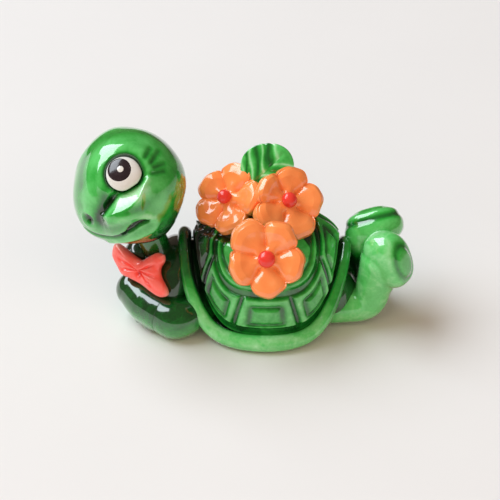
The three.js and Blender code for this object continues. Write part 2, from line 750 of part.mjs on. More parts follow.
function leafSolid(grow = 0) {
  const bladeFoot = leafRoot.clone().add(vec(-LEAF_FORWARD, 0, LEAF_STALK_LENGTH));
  const along = vec(...LEAF_ALONG).normalize();
  const across = vec(...LEAF_FACING).cross(along).normalize();
  const out = along.clone().cross(across).normalize();
  const stalk = LEAF_STALK_DIAMETER / 2 + grow;
  const thick = LEAF_THICKNESS / 2 + grow;
    const level = [vec(1, 0, 0), vec(0, 1, 0)];
  const peg = leafRoot.clone().add(vec(0, 0, -LEAF_PEG_DEPTH - grow));
  const shares = [[0.02, 0.3], [0.14, 0.66], [0.34, 0.96], [0.52, 1], [0.72, 0.84], [0.88, 0.5], [1, 0.1]];
  const blade = shares.map(([reach, wide]) =>
    ellipse(
      bladeFoot.clone().addScaledVector(along, reach * LEAF_LENGTH),
      across,
      out,
      (wide * LEAF_WIDTH) / 2 + grow,
      thick,
    ),
  );
  const stalkRings = [ellipse(peg, ...level, stalk, stalk), ellipse(leafRoot, ...level, stalk, stalk)];
  return join(solidOf(skin(stalkRings)), stalkBend(bladeFoot, along, grow), solidOf(skin(blade)));
}

function stalkBend(bladeFoot, along, grow) {
  const inBlade = bladeFoot.clone().addScaledVector(along, 0.25 * LEAF_LENGTH);
  const path = [leafRoot.clone().add(vec(0, 0, -0.3)), leafRoot.clone().lerp(bladeFoot, 0.6), inBlade];
  const thickness = Math.min(LEAF_STALK_DIAMETER, LEAF_THICKNESS);
  return limb(path, [LEAF_STALK_DIAMETER, thickness], grow, 6);
}

// Finishes
const finish = (color, roughness) => () => new THREE.MeshStandardMaterial({ color, roughness, metalness: 0 });
const green = finish(0x4fa457, 0.18);
const leafGreen = finish(0x3f9a57, 0.2);
const orange = finish(0xfb8a4c, 0.4);
const red = finish(0xf0463c, 0.3);
const coral = finish(0xf4564c, 0.4);
const white = finish(0xf1f0ea, 0.25);
const black = finish(0x1d1a1c, 0.2);

// Assembly

const figure = new THREE.Group();
const torso = new THREE.Group();
const bouquet = new THREE.Group();
const headGroup = new THREE.Group();
headGroup.applyMatrix4(headFrame);
bouquet.position.copy(domePoint(0, PI / 2));
figure.add(torso, bouquet, headGroup);
figure.updateMatrixWorld(true);

// Puts a solid, made where it stands on the figure, into a group as a named mesh.
function place(group, name, solid, material) {
  const geometry = geometryOf(solid).applyMatrix4(group.matrixWorld.clone().invert());
  const mesh = new THREE.Mesh(geometry, material());
  mesh.name = name;
  group.add(mesh);
}

const table = belowTable();
const rim = rimSolid();
const rimRoom = rimSolid(FIT_GAP);
const domeRoom = domeFill(FIT_GAP);
const flowerRooms = FLOWERS.map((flower) => flowerSolid(flower, FIT_GAP));
const leafRoom = leafSolid(FIT_GAP);
const bowRoom = bowSolid(FIT_GAP);
const neckRoom = neckPinSolid(FIT_GAP);
const armRooms = [-1, 1].map((side) => armSolid(side, FIT_GAP));
const legRooms = [leftLegSolid(FIT_GAP), rightLegSolid(FIT_GAP)];

const bulges = cut(bulgesSolid(), domeRoom);
const body = cut(
  join(coreSolid(), bulges),
  table, rimRoom, neckRoom, bowRoom, ...armRooms, ...legRooms, ...flowerRooms, leafRoom,
);
place(torso, "body_core", mainBody(body), green);
place(torso, "shell_dome", mainBody(cut(domeSolid(), ...flowerRooms, leafRoom)), green);
place(torso, "shell_rim", rim, green);
place(torso, "arm_left", mainBody(cut(armSolid(-1), table, rimRoom, domeRoom, bowRoom)), green);
place(torso, "arm_right", mainBody(cut(armSolid(1), table, rimRoom, domeRoom, bowRoom)), green);
place(torso, "leg_left", mainBody(cut(leftLegSolid(), table, rimRoom)), green);
place(torso, "leg_right", mainBody(cut(rightLegSolid(), table, rimRoom, legRooms[0])), green);
place(torso, "bow_tie", mainBody(cut(bowSolid(), neckRoom)), coral);

FLOWERS.forEach((flower, i) => {
  const inFront = flowerRooms.slice(0, i);
  const petals = cut(flowerSolid(flower), centreSolid(flower, FIT_GAP), ...inFront);
  place(bouquet, `flower_${flower.name}`, mainBody(petals), orange);
  place(bouquet, `centre_${flower.name}`, centreSolid(flower), red);
});
place(bouquet, "leaf", mainBody(cut(leafSolid(), ...flowerRooms)), leafGreen);

const eyeRooms = [-1, 1].map((side) => eyeBall(side, FIT_GAP));
place(headGroup, "head", mainBody(cut(skullSolid(), ...eyeRooms, neckRoom)), green);
place(headGroup, "neck_pin", neckPinSolid(), green);
for (const [side, name] of [[1, "left"], [-1, "right"]]) {
  place(headGroup, `eye_${name}`, mainBody(eyeSolid(side)), white);
  place(headGroup, `pupil_${name}`, mainBody(pupilSolid(side)), black);
}

export default figure;
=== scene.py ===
# %% [markdown]
# # A toy turtle figure, glazed and painted
# The figure is a small moulding, about 44 mm long, under a thick transparent green glaze: the glaze runs
# off every ridge, which stays pale, and gathers in every groove, which turns nearly black. The flowers, the
# bow and the eyes are painted over it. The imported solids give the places, and each piece is modelled here.

# %% Load the frame
import json

import bpy
import numpy as np
from mathutils import Matrix


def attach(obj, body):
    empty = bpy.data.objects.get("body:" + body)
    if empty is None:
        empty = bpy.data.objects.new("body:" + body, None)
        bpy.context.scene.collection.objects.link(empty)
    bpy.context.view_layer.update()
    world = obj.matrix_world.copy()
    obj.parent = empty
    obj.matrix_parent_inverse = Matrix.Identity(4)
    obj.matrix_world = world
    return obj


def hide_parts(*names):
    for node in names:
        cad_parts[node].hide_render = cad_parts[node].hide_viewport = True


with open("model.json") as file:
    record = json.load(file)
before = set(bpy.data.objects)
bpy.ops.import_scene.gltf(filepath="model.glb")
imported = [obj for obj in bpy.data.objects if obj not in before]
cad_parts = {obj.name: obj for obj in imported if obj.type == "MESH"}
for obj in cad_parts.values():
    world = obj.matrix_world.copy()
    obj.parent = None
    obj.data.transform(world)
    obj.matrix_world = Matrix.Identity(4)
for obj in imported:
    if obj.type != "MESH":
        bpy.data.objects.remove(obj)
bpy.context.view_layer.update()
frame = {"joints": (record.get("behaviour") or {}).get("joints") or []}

# %% [markdown]
# ## Camera
# The camera looks down at the figure's left side by 34 degrees, from so far that the picture is nearly
# without perspective. It comes first, so that every later step can be looked at from there.

# %% Camera
MM = 0.001
CAMERA_AIM = np.array([-2.105, -0.222, 9.671])
CAMERA_ELEVATION = np.radians(34)
CAMERA_DISTANCE = 230
CAMERA_LENS = 125.07

camera_away = np.array([0, -np.cos(CAMERA_ELEVATION), np.sin(CAMERA_ELEVATION)])
camera_place = (CAMERA_AIM + CAMERA_DISTANCE * camera_away) * MM
camera_turn = (np.pi / 2 - CAMERA_ELEVATION, 0, 0)
bpy.ops.object.camera_add(location=camera_place, rotation=camera_turn)
camera = bpy.context.object
camera.data.lens = CAMERA_LENS
camera.data.clip_start = 0.01
bpy.context.scene.camera = camera
bpy.context.scene.view_settings.view_transform = "Standard"
print("camera at", [round(float(x), 4) for x in camera_place])

# %% [markdown]
# ## Floor and light
# A plain pale table, a cool window high at the left, and a wide warm wall of light in front. Both are far
# away, so the table is lit evenly and the shadow to the right stays warm. Gloss shows what is around a
# thing, so the room is kept dim and the wall is left out of it: white bands are the window, dark ones the
# room, and the pale bands along the bottom are the table.

# %% Floor and light
TABLE_PALE = (0.80, 0.795, 0.785, 1)
TABLE_DUSTY = (0.77, 0.765, 0.755, 1)
WINDOW_TINT = (0.83, 0.917, 0.985)
WALL_TINT = (1.0, 0.745, 0.585)
ROOM_TINT = (1.0, 0.745, 0.585, 1)
ROOM_STRENGTH = 0.145
TABLE_SIZE = 6
WINDOW_WAY, WINDOW_DISTANCE, WINDOW_SIZE, WINDOW_WATTS = (-0.6, 0.16, 0.785), 1.2, (1.25, 0.8), 19.3
WALL_WAY, WALL_DISTANCE, WALL_SIZE, WALL_WATTS = (0.05, -0.82, 0.57), 1.5, (3.0, 1.8), 20


def lamp(name, way, distance, size, watts, tint):
    """A rectangular light that shines at the figure from the way given."""
    bpy.ops.object.light_add(type="AREA")
    light = bpy.context.object
    light.name = name
    light.data.shape = "RECTANGLE"
    light.data.size, light.data.size_y = size
    light.data.energy = watts
    light.data.color = tint
    away = np.array(way) / np.linalg.norm(way)
    axis_x = np.cross((0, 0, 1), away)
    axis_x = axis_x / np.linalg.norm(axis_x)
    axes = np.stack([axis_x, np.cross(away, axis_x), away], axis=1)
    light.matrix_world = Matrix.Translation(away * distance) @ Matrix(axes.tolist()).to_4x4()
    return light


window = lamp("window", WINDOW_WAY, WINDOW_DISTANCE, WINDOW_SIZE, WINDOW_WATTS, WINDOW_TINT)
wall = lamp("front_wall", WALL_WAY, WALL_DISTANCE, WALL_SIZE, WALL_WATTS, WALL_TINT)
wall.visible_glossy = False
bpy.ops.mesh.primitive_plane_add(size=TABLE_SIZE)
floor = bpy.context.object
floor.name = "table"
world = bpy.data.worlds.new("dim_room")
world.use_nodes = True
world.node_tree.nodes["Background"].inputs["Color"].default_value = ROOM_TINT
world.node_tree.nodes["Background"].inputs["Strength"].default_value = ROOM_STRENGTH
bpy.context.scene.world = world
print("lights:", window.name, wall.name)

# %% [markdown]
# ## Hand tools
# Every piece starts as a primitive whose points are then moved, as in sculpting: a rule says how far a
# point goes in or out. Work is in millimetres, because Blender's tools are at their best at that size,
# and a piece is shrunk to metres when it is put on the figure.


# %% Hand tools: start a piece and read it
def begin(add, name, **settings):
    """A new primitive, with nothing else selected."""
    bpy.ops.object.select_all(action="DESELECT")
    add(**settings)
    piece = bpy.context.object
    piece.name = piece.data.name = name
    return piece


def ball(name, columns, rows):
    return begin(bpy.ops.mesh.primitive_uv_sphere_add, name, segments=columns, ring_count=rows)


def points_of(piece):
    flat = np.empty(3 * len(piece.data.vertices))
    piece.data.vertices.foreach_get("co", flat)
    return flat.reshape(-1, 3)


def normals_of(piece):
    flat = np.empty(3 * len(piece.data.vertices))
    piece.data.vertex_normals.foreach_get("vector", flat)
    return flat.reshape(-1, 3)


def set_points(piece, points):
    piece.data.vertices.foreach_set("co", np.ascontiguousarray(points).ravel())
    piece.data.update()


def set_columns(piece, x, y, z):
    set_points(piece, np.stack([x, y, z], axis=1))


def blob(name, size, centre, columns=64, rows=48):
    """A ball stretched to a size, about a centre."""
    piece = ball(name, columns, rows)
    set_points(piece, points_of(piece) * size / 2 + centre)
    return piece


def place_by(piece, axes, centre):
    """Turns the piece so that its x, y and z run along the axes, and moves it to the centre."""
    set_points(piece, points_of(piece) @ np.array(axes) + centre)


def press(piece, outward):
    """Moves each point along its normal."""
    set_points(piece, points_of(piece) + normals_of(piece) * np.asarray(outward)[:, None])


print("hand tools ready")

# %% [markdown]
# A few soft rules do most of the sculpting: a bell for ridges and grooves, a smooth step for edges, and the
# distance to a drawn path. Relief says how far a point stands out of its smoothed surroundings, and that is
# where glaze runs thin or pools.


# %% Hand tools: rules for shapes
def unit(vector):
    vector = np.asarray(vector, float)
    return vector / np.linalg.norm(vector, axis=-1, keepdims=True)


def bell(distance, width):
    return np.exp(-((distance / width) ** 2))


def step(value, low, high):
    share = np.clip((value - low) / (high - low), 0, 1)
    return share * share * (3 - 2 * share)


def to_path(points, path):
    """How far each point is from a path, and how far along it, from 0 to 1."""
    path = np.asarray(path, float)
    lengths = np.linalg.norm(np.diff(path, axis=0), axis=1)
    starts = np.cumsum(lengths) - lengths
    far = np.full(len(points), np.inf)
    along = np.zeros(len(points))
    for start, length, a, b in zip(starts, lengths, path, path[1:]):
        share = np.clip((points - a) @ (b - a) / length**2, 0, 1)
        distance = np.linalg.norm(points - a - share[:, None] * (b - a), axis=1)
        nearer = distance < far
        far = np.where(nearer, distance, far)
        along = np.where(nearer, (start + share * length) / lengths.sum(), along)
    return far, along


def smooth_path(corners, steps=160):
    """Points on a smooth curve through the corners."""
    corners = np.asarray(corners, float)
    ends = np.vstack([2 * corners[0] - corners[1], corners, 2 * corners[-1] - corners[-2]])
    place = np.linspace(0, len(corners) - 1, steps)
    i = np.minimum(place.astype(int), len(corners) - 2)
    t = (place - i)[:, None]
    a, b, c, d = (ends[i + k] for k in range(4))
    return 0.5 * (2 * b + (c - a) * t + (2 * a - 5 * b + 4 * c - d) * t**2 + (3 * b - a - 3 * c + d) * t**3)


def averaged(piece, values, rounds):
    """Values on the points, each mixed with its neighbours' a number of times."""
    flat = np.empty(2 * len(piece.data.edges), dtype=np.int32)
    piece.data.edges.foreach_get("vertices", flat)
    a, b = flat.reshape(-1, 2).T
    count = len(values)
    near = np.bincount(flat, minlength=count) + 1
    columns = np.atleast_2d(np.asarray(values, float).T).copy()
    for _ in range(rounds):
        columns = np.stack([
            (c + np.bincount(a, c[b], count) + np.bincount(b, c[a], count)) / near for c in columns
        ])
    return columns.T.reshape(np.shape(values))


def relief(piece, rounds):
    """How far each point stands out of its smoothed surroundings, in millimetres."""
    points = points_of(piece)
    return np.sum((points - averaged(piece, points, rounds)) * normals_of(piece), axis=1)


print("smooth path:", smooth_path([(0, 0, 0), (1, 1, 0), (2, 0, 0)], 5).round(2).tolist())


# %% Hand tools: keep a value on the points, and put a finished piece on the figure
def keep(piece, name, values):
    """A value on every point, which the material reads."""
    layer = piece.data.attributes.new(name, "FLOAT", "POINT")
    layer.data.foreach_set("value", np.asarray(values, np.float32))


def keep_depth_and_shading(piece, values):
    """How thin the glaze or paint is, 0 where deep and 1 where run off, with painted shade and highlights
    added.
    """
    keep(piece, "pool", np.clip(values, 0, 1))


def only(piece):
    bpy.ops.object.select_all(action="DESELECT")
    piece.select_set(True)
    bpy.context.view_layer.objects.active = piece


def put_on(piece, body, slot, finish, *nodes):
    """Shrinks a finished piece to metres, turns its faces outwards and puts it on the figure."""
    only(piece)
    piece.scale = (MM, MM, MM)
    bpy.ops.object.transform_apply(location=True, rotation=True, scale=True)
    bpy.ops.object.mode_set(mode="EDIT")
    bpy.ops.mesh.select_all(action="SELECT")
    bpy.ops.mesh.normals_make_consistent(inside=False)
    bpy.ops.object.mode_set(mode="OBJECT")
    bpy.ops.object.shade_smooth()
    piece.data.materials.clear()
    piece.data.materials.append(finish)
    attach(piece, body)
    if nodes:
        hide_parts(*nodes)
    print(piece.name, len(piece.data.polygons), "faces, for", ", ".join(nodes) or "detail")


def fuse(name, pieces, voxel, rounds):
    """Joins overlapping pieces into one skin and smooths the joints."""
    only(pieces[0])
    for piece in pieces[1:]:
        piece.select_set(True)
    bpy.ops.object.join()
    whole = bpy.context.object
    whole.name = whole.data.name = name
    whole.data.remesh_voxel_size = voxel
    bpy.ops.object.voxel_remesh()
    softener = whole.modifiers.new("soften", "SMOOTH")
    softener.iterations = rounds
    softener.factor = 0.6
    bpy.ops.object.modifier_apply(modifier=softener.name)
    return whole


# %% [markdown]
# ## Materials as expressions
# A material is a network of nodes. The class below holds one socket and turns sums into Math nodes, so that
# a mask can be written as a formula. Any other node comes from its one method.


# %% Sockets that can be reckoned with
class Wire:
    def __init__(self, tree, socket=None):
        self.tree = tree
        self.socket = socket

    def node(self, kind, settings=None, inputs=None, output=0):
        """A node of a kind, with its settings, then values or links for its sockets."""
        made = self.tree.nodes.new("ShaderNode" + kind)
        for name, value in (settings or {}).items():
            if name == "stops":
                set_stops(made.color_ramp, value)
            else:
                setattr(made, name, value)
        feed(self.tree, made, inputs or {})
        return Wire(self.tree, made.outputs[output])

    def maths(self, operation, first, second):
        return self.node("Math", {"operation": operation}, {0: first, 1: second})

    def __add__(self, other):
        return self.maths("ADD", self, other)

    def __radd__(self, other):
        return self.maths("ADD", other, self)

    def __sub__(self, other):
        return self.maths("SUBTRACT", self, other)

    def __rsub__(self, other):
        return self.maths("SUBTRACT", other, self)

    def __mul__(self, other):
        return self.maths("MULTIPLY", self, other)

    def __rmul__(self, other):
        return self.maths("MULTIPLY", other, self)


def feed(tree, node, inputs):
    for name, value in inputs.items():
        if isinstance(value, Wire):
            tree.links.new(value.socket, node.inputs[name])
        else:
            node.inputs[name].default_value = value


def set_stops(ramp, stops):
    while len(ramp.elements) < len(stops):
        ramp.elements.new(0.5)
    for element, (place, colour) in zip(ramp.elements, stops):
        element.position = place
        element.color = colour


def colour(red, green, blue):
    """A colour as it looks on a screen, from 0 to 255, as the light values that Blender mixes."""
    screen = np.array([red, green, blue]) / 255
    light = np.where(screen <= 0.04045, screen / 12.92, ((screen + 0.055) / 1.055) ** 2.4)
    return (*light.tolist(), 1)


def material(name):
    """An empty material: itself, its shader, and a wire to grow its nodes from."""
    made = bpy.data.materials.new(name)
    made.use_nodes = True
    return made, made.node_tree.nodes["Principled BSDF"], Wire(made.node_tree)


def kept(wire, name):
    """A value that was kept on the points."""
    return wire.node("Attribute", {"attribute_name": name}, output="Fac")


def noise(wire, scale, detail, distortion=0.0):
    """Soft noise that stays with the piece."""
    here = wire.node("TexCoord", output="Object")
    return wire.node("TexNoise", {}, {
        "Vector": here, "Scale": scale, "Detail": detail, "Distortion": distortion,
    })


def blend(share, first, second):
    return share.node("Mix", {"data_type": "RGBA"}, {0: share, 6: first, 7: second}, 2)


def look_up(value, stops):
    return value.node("ValToRGB", {"stops": stops}, {"Fac": value})


def waviness(height, strength, distance):
    return height.node("Bump", {}, {"Height": height, "Strength": strength, "Distance": distance}, "Normal")


print("coral is", [round(x, 3) for x in colour(242, 86, 74)])

# %% [markdown]
# ## Table surface
# The photo's table is plain and pale, a little warm, with no grain to see. A faint cloudiness keeps it from
# looking like a flat fill.

# %% Table surface
table_finish, table_shader, wire = material("table_surface")
pale = blend(noise(wire, 30, 4), TABLE_PALE, TABLE_DUSTY)
feed(wire.tree, table_shader, {"Base Color": pale, "Roughness": 0.7, "Specular IOR Level": 0.2})
floor.data.materials.append(table_finish)
print("table:", table_finish.name)

# %% [markdown]
# ## Green glaze
# One glaze covers the turtle. Its colour follows one value on the points: pale where the glaze has run off a
# ridge, nearly black where it stands in a groove, and painted shade and painted highlights are added into
# the same value. Every green piece keeps it, 0 for deep glaze and painted shade and 1 for thin glaze and
# painted highlights, and the material looks up the colour and adds cloudy brush marks, which are stronger on
# the shell and the leaf. A clear coat with a very fine waviness gives the wet gloss.

# %% Green glaze
GLAZE = [
    (0.0, colour(5, 20, 9)),
    (0.2, colour(10, 58, 22)),
    (0.4, colour(16, 112, 36)),
    (0.6, colour(42, 162, 56)),
    (0.8, colour(94, 204, 106)),
    (1.0, colour(172, 236, 178)),
]


def glaze(name, marks):
    """The glaze with brush marks of a strength."""
    made, shader, wire = material(name)
    broad = noise(wire, 380, 3, 0.6)
    fine = noise(wire, 2600, 2)
    depth = kept(wire, "pool") + (broad - 0.5) * marks + (fine - 0.5) * (0.25 * marks)
    feed(wire.tree, shader, {
        "Base Color": look_up(depth, GLAZE),
        "Roughness": 0.1 + fine * 0.1,
        "Normal": waviness(noise(wire, 700, 2), 0.12, 0.00008),
        "Coat Weight": 1.0,
        "Coat Roughness": 0.03,
        "Coat IOR": 1.65,
    })
    return made


green_glaze = glaze("green_glaze", marks=0.4)
print("glaze with", len(GLAZE), "depths")

# %% [markdown]
# ## Head
# The head is an egg with a muzzle, cheeks and brows that roll round sunken eyes, and it looks a little to
# its left. It could be carved with brushes; here each feature is a rule on directions from the middle of
# the head, azimuth from the nose to the side and elevation, so both sides come out alike.

# %% Head: where it sits and how directions are told
HEAD_SIZE = np.array([13.8, 14.2, 14.8])
HEAD_TURN = np.radians(18)
HEAD_ROLL = np.radians(8)
NECK_SHOW = 3.6
HEAD_ROUND = 7.2
# muzzle, chin, cheeks, back and lower back: direction, spread in degrees, and height
HEAD_SWELLS = [
    ((0, -24), 34, 0.7), ((12, -42), 24, 0.5), ((62, -24), 26, 0.5), ((158, 8), 30, 0.38),
    ((122, -50), 26, 0.65),
]

joint = frame["joints"][0]
neck_root = np.array(joint["pos_m"]) / MM
neck_axis = unit(joint["axis"])
head_centre = neck_root + neck_axis * (NECK_SHOW + HEAD_SIZE[2] / 2)
turn_rows = np.array(Matrix.Rotation(np.pi + HEAD_TURN, 3, "Z") @ Matrix.Rotation(HEAD_ROLL, 3, "X"))
head_axes = turn_rows.T


def head_way(angles):
    """Directions on the head for rows of azimuth and elevation in degrees."""
    azimuth, elevation = np.radians(np.atleast_2d(angles)).T
    level = np.cos(elevation)
    return np.stack([np.cos(azimuth) * level, np.sin(azimuth) * level, np.sin(elevation)], axis=1)


def swell(ways, angles, spread, height):
    """A round bulge about a direction, its spread in degrees."""
    away = np.degrees(np.arccos(np.clip(ways @ head_way(angles)[0], -1, 1)))
    return height * bell(away, spread)


def egg(ways):
    """The head without its fine features: distance from its middle for each direction."""
    round_part = 1 / np.linalg.norm(ways / (HEAD_SIZE / 2), axis=1)
    return round_part + sum(swell(ways, *bulge) for bulge in HEAD_SWELLS)


print("head centre", head_centre.round(2))

# %% [markdown]
# ### The eye's outline
# The eye is a rounded drop: nearly a circle, flattened towards the cheek, with a corner at the back. The
# same outline cuts the socket in the head and shapes the white.

# %% Head: the eye's outline
EYE_WAY = (70, 36)
EYE_RADIUS = 2.2

eye_out = head_way(EYE_WAY)[0]
eye_back = unit(np.cross((0, 0, 1), eye_out))
eye_up = np.cross(eye_out, eye_back)


def eye_edge(turn):
    """The outline's radius at a turn from the back of the head upwards."""
    flat = 0.1 * bell(np.degrees(turn) + 58, 26)
    corner = 0.04 * bell(np.degrees(turn) - 2, 14)
    return EYE_RADIUS * (1 - flat + corner)


def past_eye(ways):
    """How far outside the eye's outline each direction lies, and its turn round the eye."""
    aside = (ways - eye_out) * HEAD_ROUND
    across, up = aside @ eye_back, aside @ eye_up
    turn = np.arctan2(up, across)
    gap = np.hypot(across, up) - eye_edge(turn)
    return np.where(ways @ eye_out > 0.5, gap, 9.0), turn


print("eye outline from", eye_edge(np.radians(-47)).round(2), "to", eye_edge(0.0).round(2), "mm")

# %% [markdown]
# ### Features of the face
# Ridges are raised and grooves sunk along paths. The cheek bulges under the eye and falls to it as a flat
# ledge, which mirrors the window. The mouth is a groove that opens into a wedge at its corner, with a pale
# fold round it, and short lash grooves fan out behind the eye.

# %% Head: features as heights
BROW = [(30, -6), (28, 8), (26, 20), (22, 33), (20, 47), (25, 59), (42, 66), (70, 68), (95, 63), (106, 56)]
FOREHEAD = [
    (14, 16), (7, 28), (-3, 40), (-12, 51), (-15, 63), (-9, 78), (100, 88), (167, 75), (172, 61), (172, 46),
    (160, 36),
]
CREASE = [(51, 16), (50, 7), (47, -1), (44, -9.7), (42.6, -14), (48, -13.5), (55.9, -9.6)]
CHEEK = [
    (46, -10.5), (55.4, -5.3), (63, -2.2), (70.5, 0.2), (76.4, 3.3), (83.6, 10), (88.7, 17), (92.3, 22),
    (99.6, 28),
]
LEDGE = [
    (46, -8), (48, -5.4), (55.7, 4.8), (62.8, 13.2), (71.5, 17.3), (80.5, 21.6), (89, 24.3), (99.6, 31),
]
UNDER_CHEEK = [(60, -4), (66, -2.5), (75, -1), (85, 1), (96, 3), (104, 8)]
MOUTH = [
    (-8, -31), (4, -31), (15, -33), (24, -36.4), (34, -38), (44, -38.2), (52, -37), (61, -34),
    (67.6, -29.7),
]
WEDGE = [(64, -32), (74.5, -24), (77.5, -21), (81, -18.6), (86, -17.2), (94, -17.3)]
WEDGE_OPENING = [0.06, 0.1, 0.34, 0.4, 0.3, 0.04]
LIP_FOLD = [
    (40, -51), (56, -47), (69, -42.8), (86, -36.3), (101, -29.4), (105, -22), (100, -15), (91, -10),
    (82, -7), (70, -7.4), (58, -11),
]
LASHES = [
    [(101, 47), (122, 55.6)],
    [(106, 40), (133, 48.8)],
    [(108, 36.1), (128, 35.4)],
    [(102, 31.1), (122, 29)],
]
NOSTRIL = (27.1, -17.7)
UPPER_LIP = [(44, -18.7), (53, -21), (62, -21.2)]
LEDGE_CREST, LEDGE_FALL = 0.8, 1.1
CHEEK_PALE, LOWER_BACK = ((99, 8), 14, 1), ((130, -46), 24, 1)


def head_path(ways, angles):
    return to_path(ways * HEAD_ROUND, head_way(angles) * HEAD_ROUND)


def cheek_ledge(ways):
    """A cheek that falls to the eye as a flat ledge: its height, and where the ledge is."""
    azimuth = np.degrees(np.arctan2(ways[:, 1], ways[:, 0]))
    elevation = np.degrees(np.arcsin(np.clip(ways[:, 2], -1, 1)))
    crest = np.interp(azimuth, *np.transpose(CHEEK))
    foot = np.interp(azimuth, *np.transpose(LEDGE))
    fall = np.clip((elevation - crest) / (foot - crest), 0, 1)
    below = bell(np.radians(np.maximum(crest - elevation, 0)) * HEAD_ROUND, 2.2)
    profile = LEDGE_CREST * below * (1 - fall) - LEDGE_FALL * fall * (1 - step(elevation - foot, 3, 12))
    extent = np.clip((foot - crest) / 9, 0, 1) * step(azimuth, 40, 48) * (1 - step(azimuth, 90, 106))
    return profile * extent, step(fall, 0.02, 0.25) * (1 - step(fall, 0.7, 0.98)) * extent


def face_marks(ways):
    """Each feature's strength, from 0 to 1, for directions on the left half of the head."""
    gap, turn = past_eye(ways)
    cheekward = bell(np.degrees(turn) + 75, 50)
    wedge, wedge_along = head_path(ways, WEDGE)
    opening = np.interp(wedge_along, np.linspace(0, 1, len(WEDGE_OPENING)), WEDGE_OPENING)
    mouth, mouth_along = head_path(ways, MOUTH)
    crease, crease_along = head_path(ways, CREASE)
    crease_fade = step(crease_along, -0.2, 0.2) * (1 - 0.65 * step(crease_along, 0.66, 0.95))
    nostril = np.linalg.norm(ways - head_way(NOSTRIL), axis=1) * HEAD_ROUND
    cheek, ledge = cheek_ledge(ways)
    lashes = np.zeros(len(ways))
    for path in LASHES:
        lash, along = head_path(ways, path)
        lashes = np.maximum(lashes, bell(lash, 0.32) * step(along, -0.1, 0.2) * (1 - 0.45 * along))
    return {
        "socket": 1 - step(gap, -0.2, 0.45 + 0.2 * cheekward),
        "outline": bell(np.maximum(gap - 0.18, 0), 0.34) * (1 - 0.35 * cheekward),
        "lid": bell(gap - 1.1, 0.55) * (1 - cheekward),
        "brow": bell(head_path(ways, BROW)[0], 1.15),
        "crease": bell(crease, 0.85) * crease_fade,
        "cheek": cheek,
        "ledge": ledge,
        "cheek_pale": swell(ways, *CHEEK_PALE),
        "under_cheek": bell(head_path(ways, UNDER_CHEEK)[0], 0.8),
        "upper_lip": bell(head_path(ways, UPPER_LIP)[0], 0.9),
        "lower_back": swell(ways, *LOWER_BACK),
        "mouth": bell(mouth, 0.26) * (0.6 + 0.4 * mouth_along),
        "wedge": 1 - step(wedge, opening, opening + 0.22),
        "lip_fold": bell(head_path(ways, LIP_FOLD)[0], 0.62),
        "nostril": bell(nostril, 0.62),
        "nostril_ring": bell(nostril - 0.95, 0.35),
        "lashes": lashes,
    }


FACE_HEIGHTS = {
    "socket": -0.95, "lid": 0.12, "brow": 0.18, "crease": -0.32, "cheek": 1, "mouth": -0.4,
    "wedge": -0.6, "lip_fold": 0.26, "nostril": -0.55, "nostril_ring": 0.12, "lashes": -0.2,
}
# How each feature lightens or darkens the glaze. The ledge's paler glaze is a painted highlight, and the
# darker bands under the cheek and at the lower back are painted shade.
FACE_GLAZE_AND_SHADING = {
    "outline": -0.55, "brow": 0.06, "crease": -0.45, "ledge": 0.3, "cheek_pale": 0.24, "under_cheek": -0.28,
    "mouth": -0.4, "wedge": -0.5, "lip_fold": 0.16, "nostril": -0.6, "lashes": -0.34, "upper_lip": -0.14,
    "lower_back": -0.55,
}
HEAD_TONE = 0.65
BETWEEN_EYES = (-5, 5), 38, 0.12
print(len(FACE_HEIGHTS), "features shape the face")

# %% Head: sculpt
head = begin(bpy.ops.mesh.primitive_ico_sphere_add, "head_skin", subdivisions=7, radius=1)
ways = unit(points_of(head))
left_ways = np.stack([ways[:, 0], np.abs(ways[:, 1]), ways[:, 2]], axis=1)
marks = face_marks(left_ways)
heights = egg(left_ways) + sum(FACE_HEIGHTS[name] * marks[name] for name in FACE_HEIGHTS)
set_points(head, ways * heights[:, None])

head_depth_and_shading = HEAD_TONE + np.clip(relief(head, 40) * 0.6, -0.3, 0.24)
head_depth_and_shading += sum(FACE_GLAZE_AND_SHADING[name] * marks[name] for name in FACE_GLAZE_AND_SHADING)
# Painted shade: darker under the chin and a little darker at the back of the head.
under_chin, at_back = step(-ways[:, 2], 0.6, 0.95), step(-ways[:, 0], 0.3, 0.9)
head_depth_and_shading -= 0.3 * under_chin + 0.1 * at_back
head_depth_and_shading -= 0.16 * bell(head_path(ways, FOREHEAD)[0], 1.0) + swell(ways, *BETWEEN_EYES)
keep_depth_and_shading(head, averaged(head, head_depth_and_shading, 2))
place_by(head, head_axes, head_centre)
put_on(head, "head", "green_gloss", green_glaze, "head")

# %% [markdown]
# ## Neck
# A short column joins head and chest, and the head turns on it. It is turned like a spindle: a tube whose
# rings are drawn in between a foot and a flare.

# %% Neck
NECK_RADIUS, NECK_WAIST = 2.1, 0.07
NECK_SINK, NECK_IN_HEAD = 0.8, 1.2

neck = ball("neck_skin", 64, 48)
neck_points = points_of(neck)
rise = neck_points[:, 2]
girth = NECK_RADIUS * (1 - NECK_WAIST * (1 - np.abs(rise) ** 3))
neck_low, neck_high = -NECK_SINK, NECK_SHOW + NECK_IN_HEAD
level = np.linalg.norm(neck_points[:, :2], axis=1).clip(1e-9)
full = np.minimum(1, level / 0.35) * girth / level
neck_shape = np.stack([
    neck_points[:, 0] * full,
    neck_points[:, 1] * full,
    neck_low + (neck_high - neck_low) * (0.5 + 0.5 * np.clip(rise / 0.93, -1, 1)),
], axis=1)
set_points(neck, neck_shape)
neck_side = unit(np.cross((0, 0, 1), neck_axis))
place_by(neck, [neck_side, np.cross(neck_axis, neck_side), neck_axis], neck_root)
# The neck is kept dark, a deep glaze with painted shade under the head and behind the bow, darkest at its
# foot.
keep_depth_and_shading(neck, 0.18 + 0.2 * step(neck_shape[:, 2], 0.6, 2.6))
put_on(neck, "head", "green_gloss", green_glaze, "neck_pin")

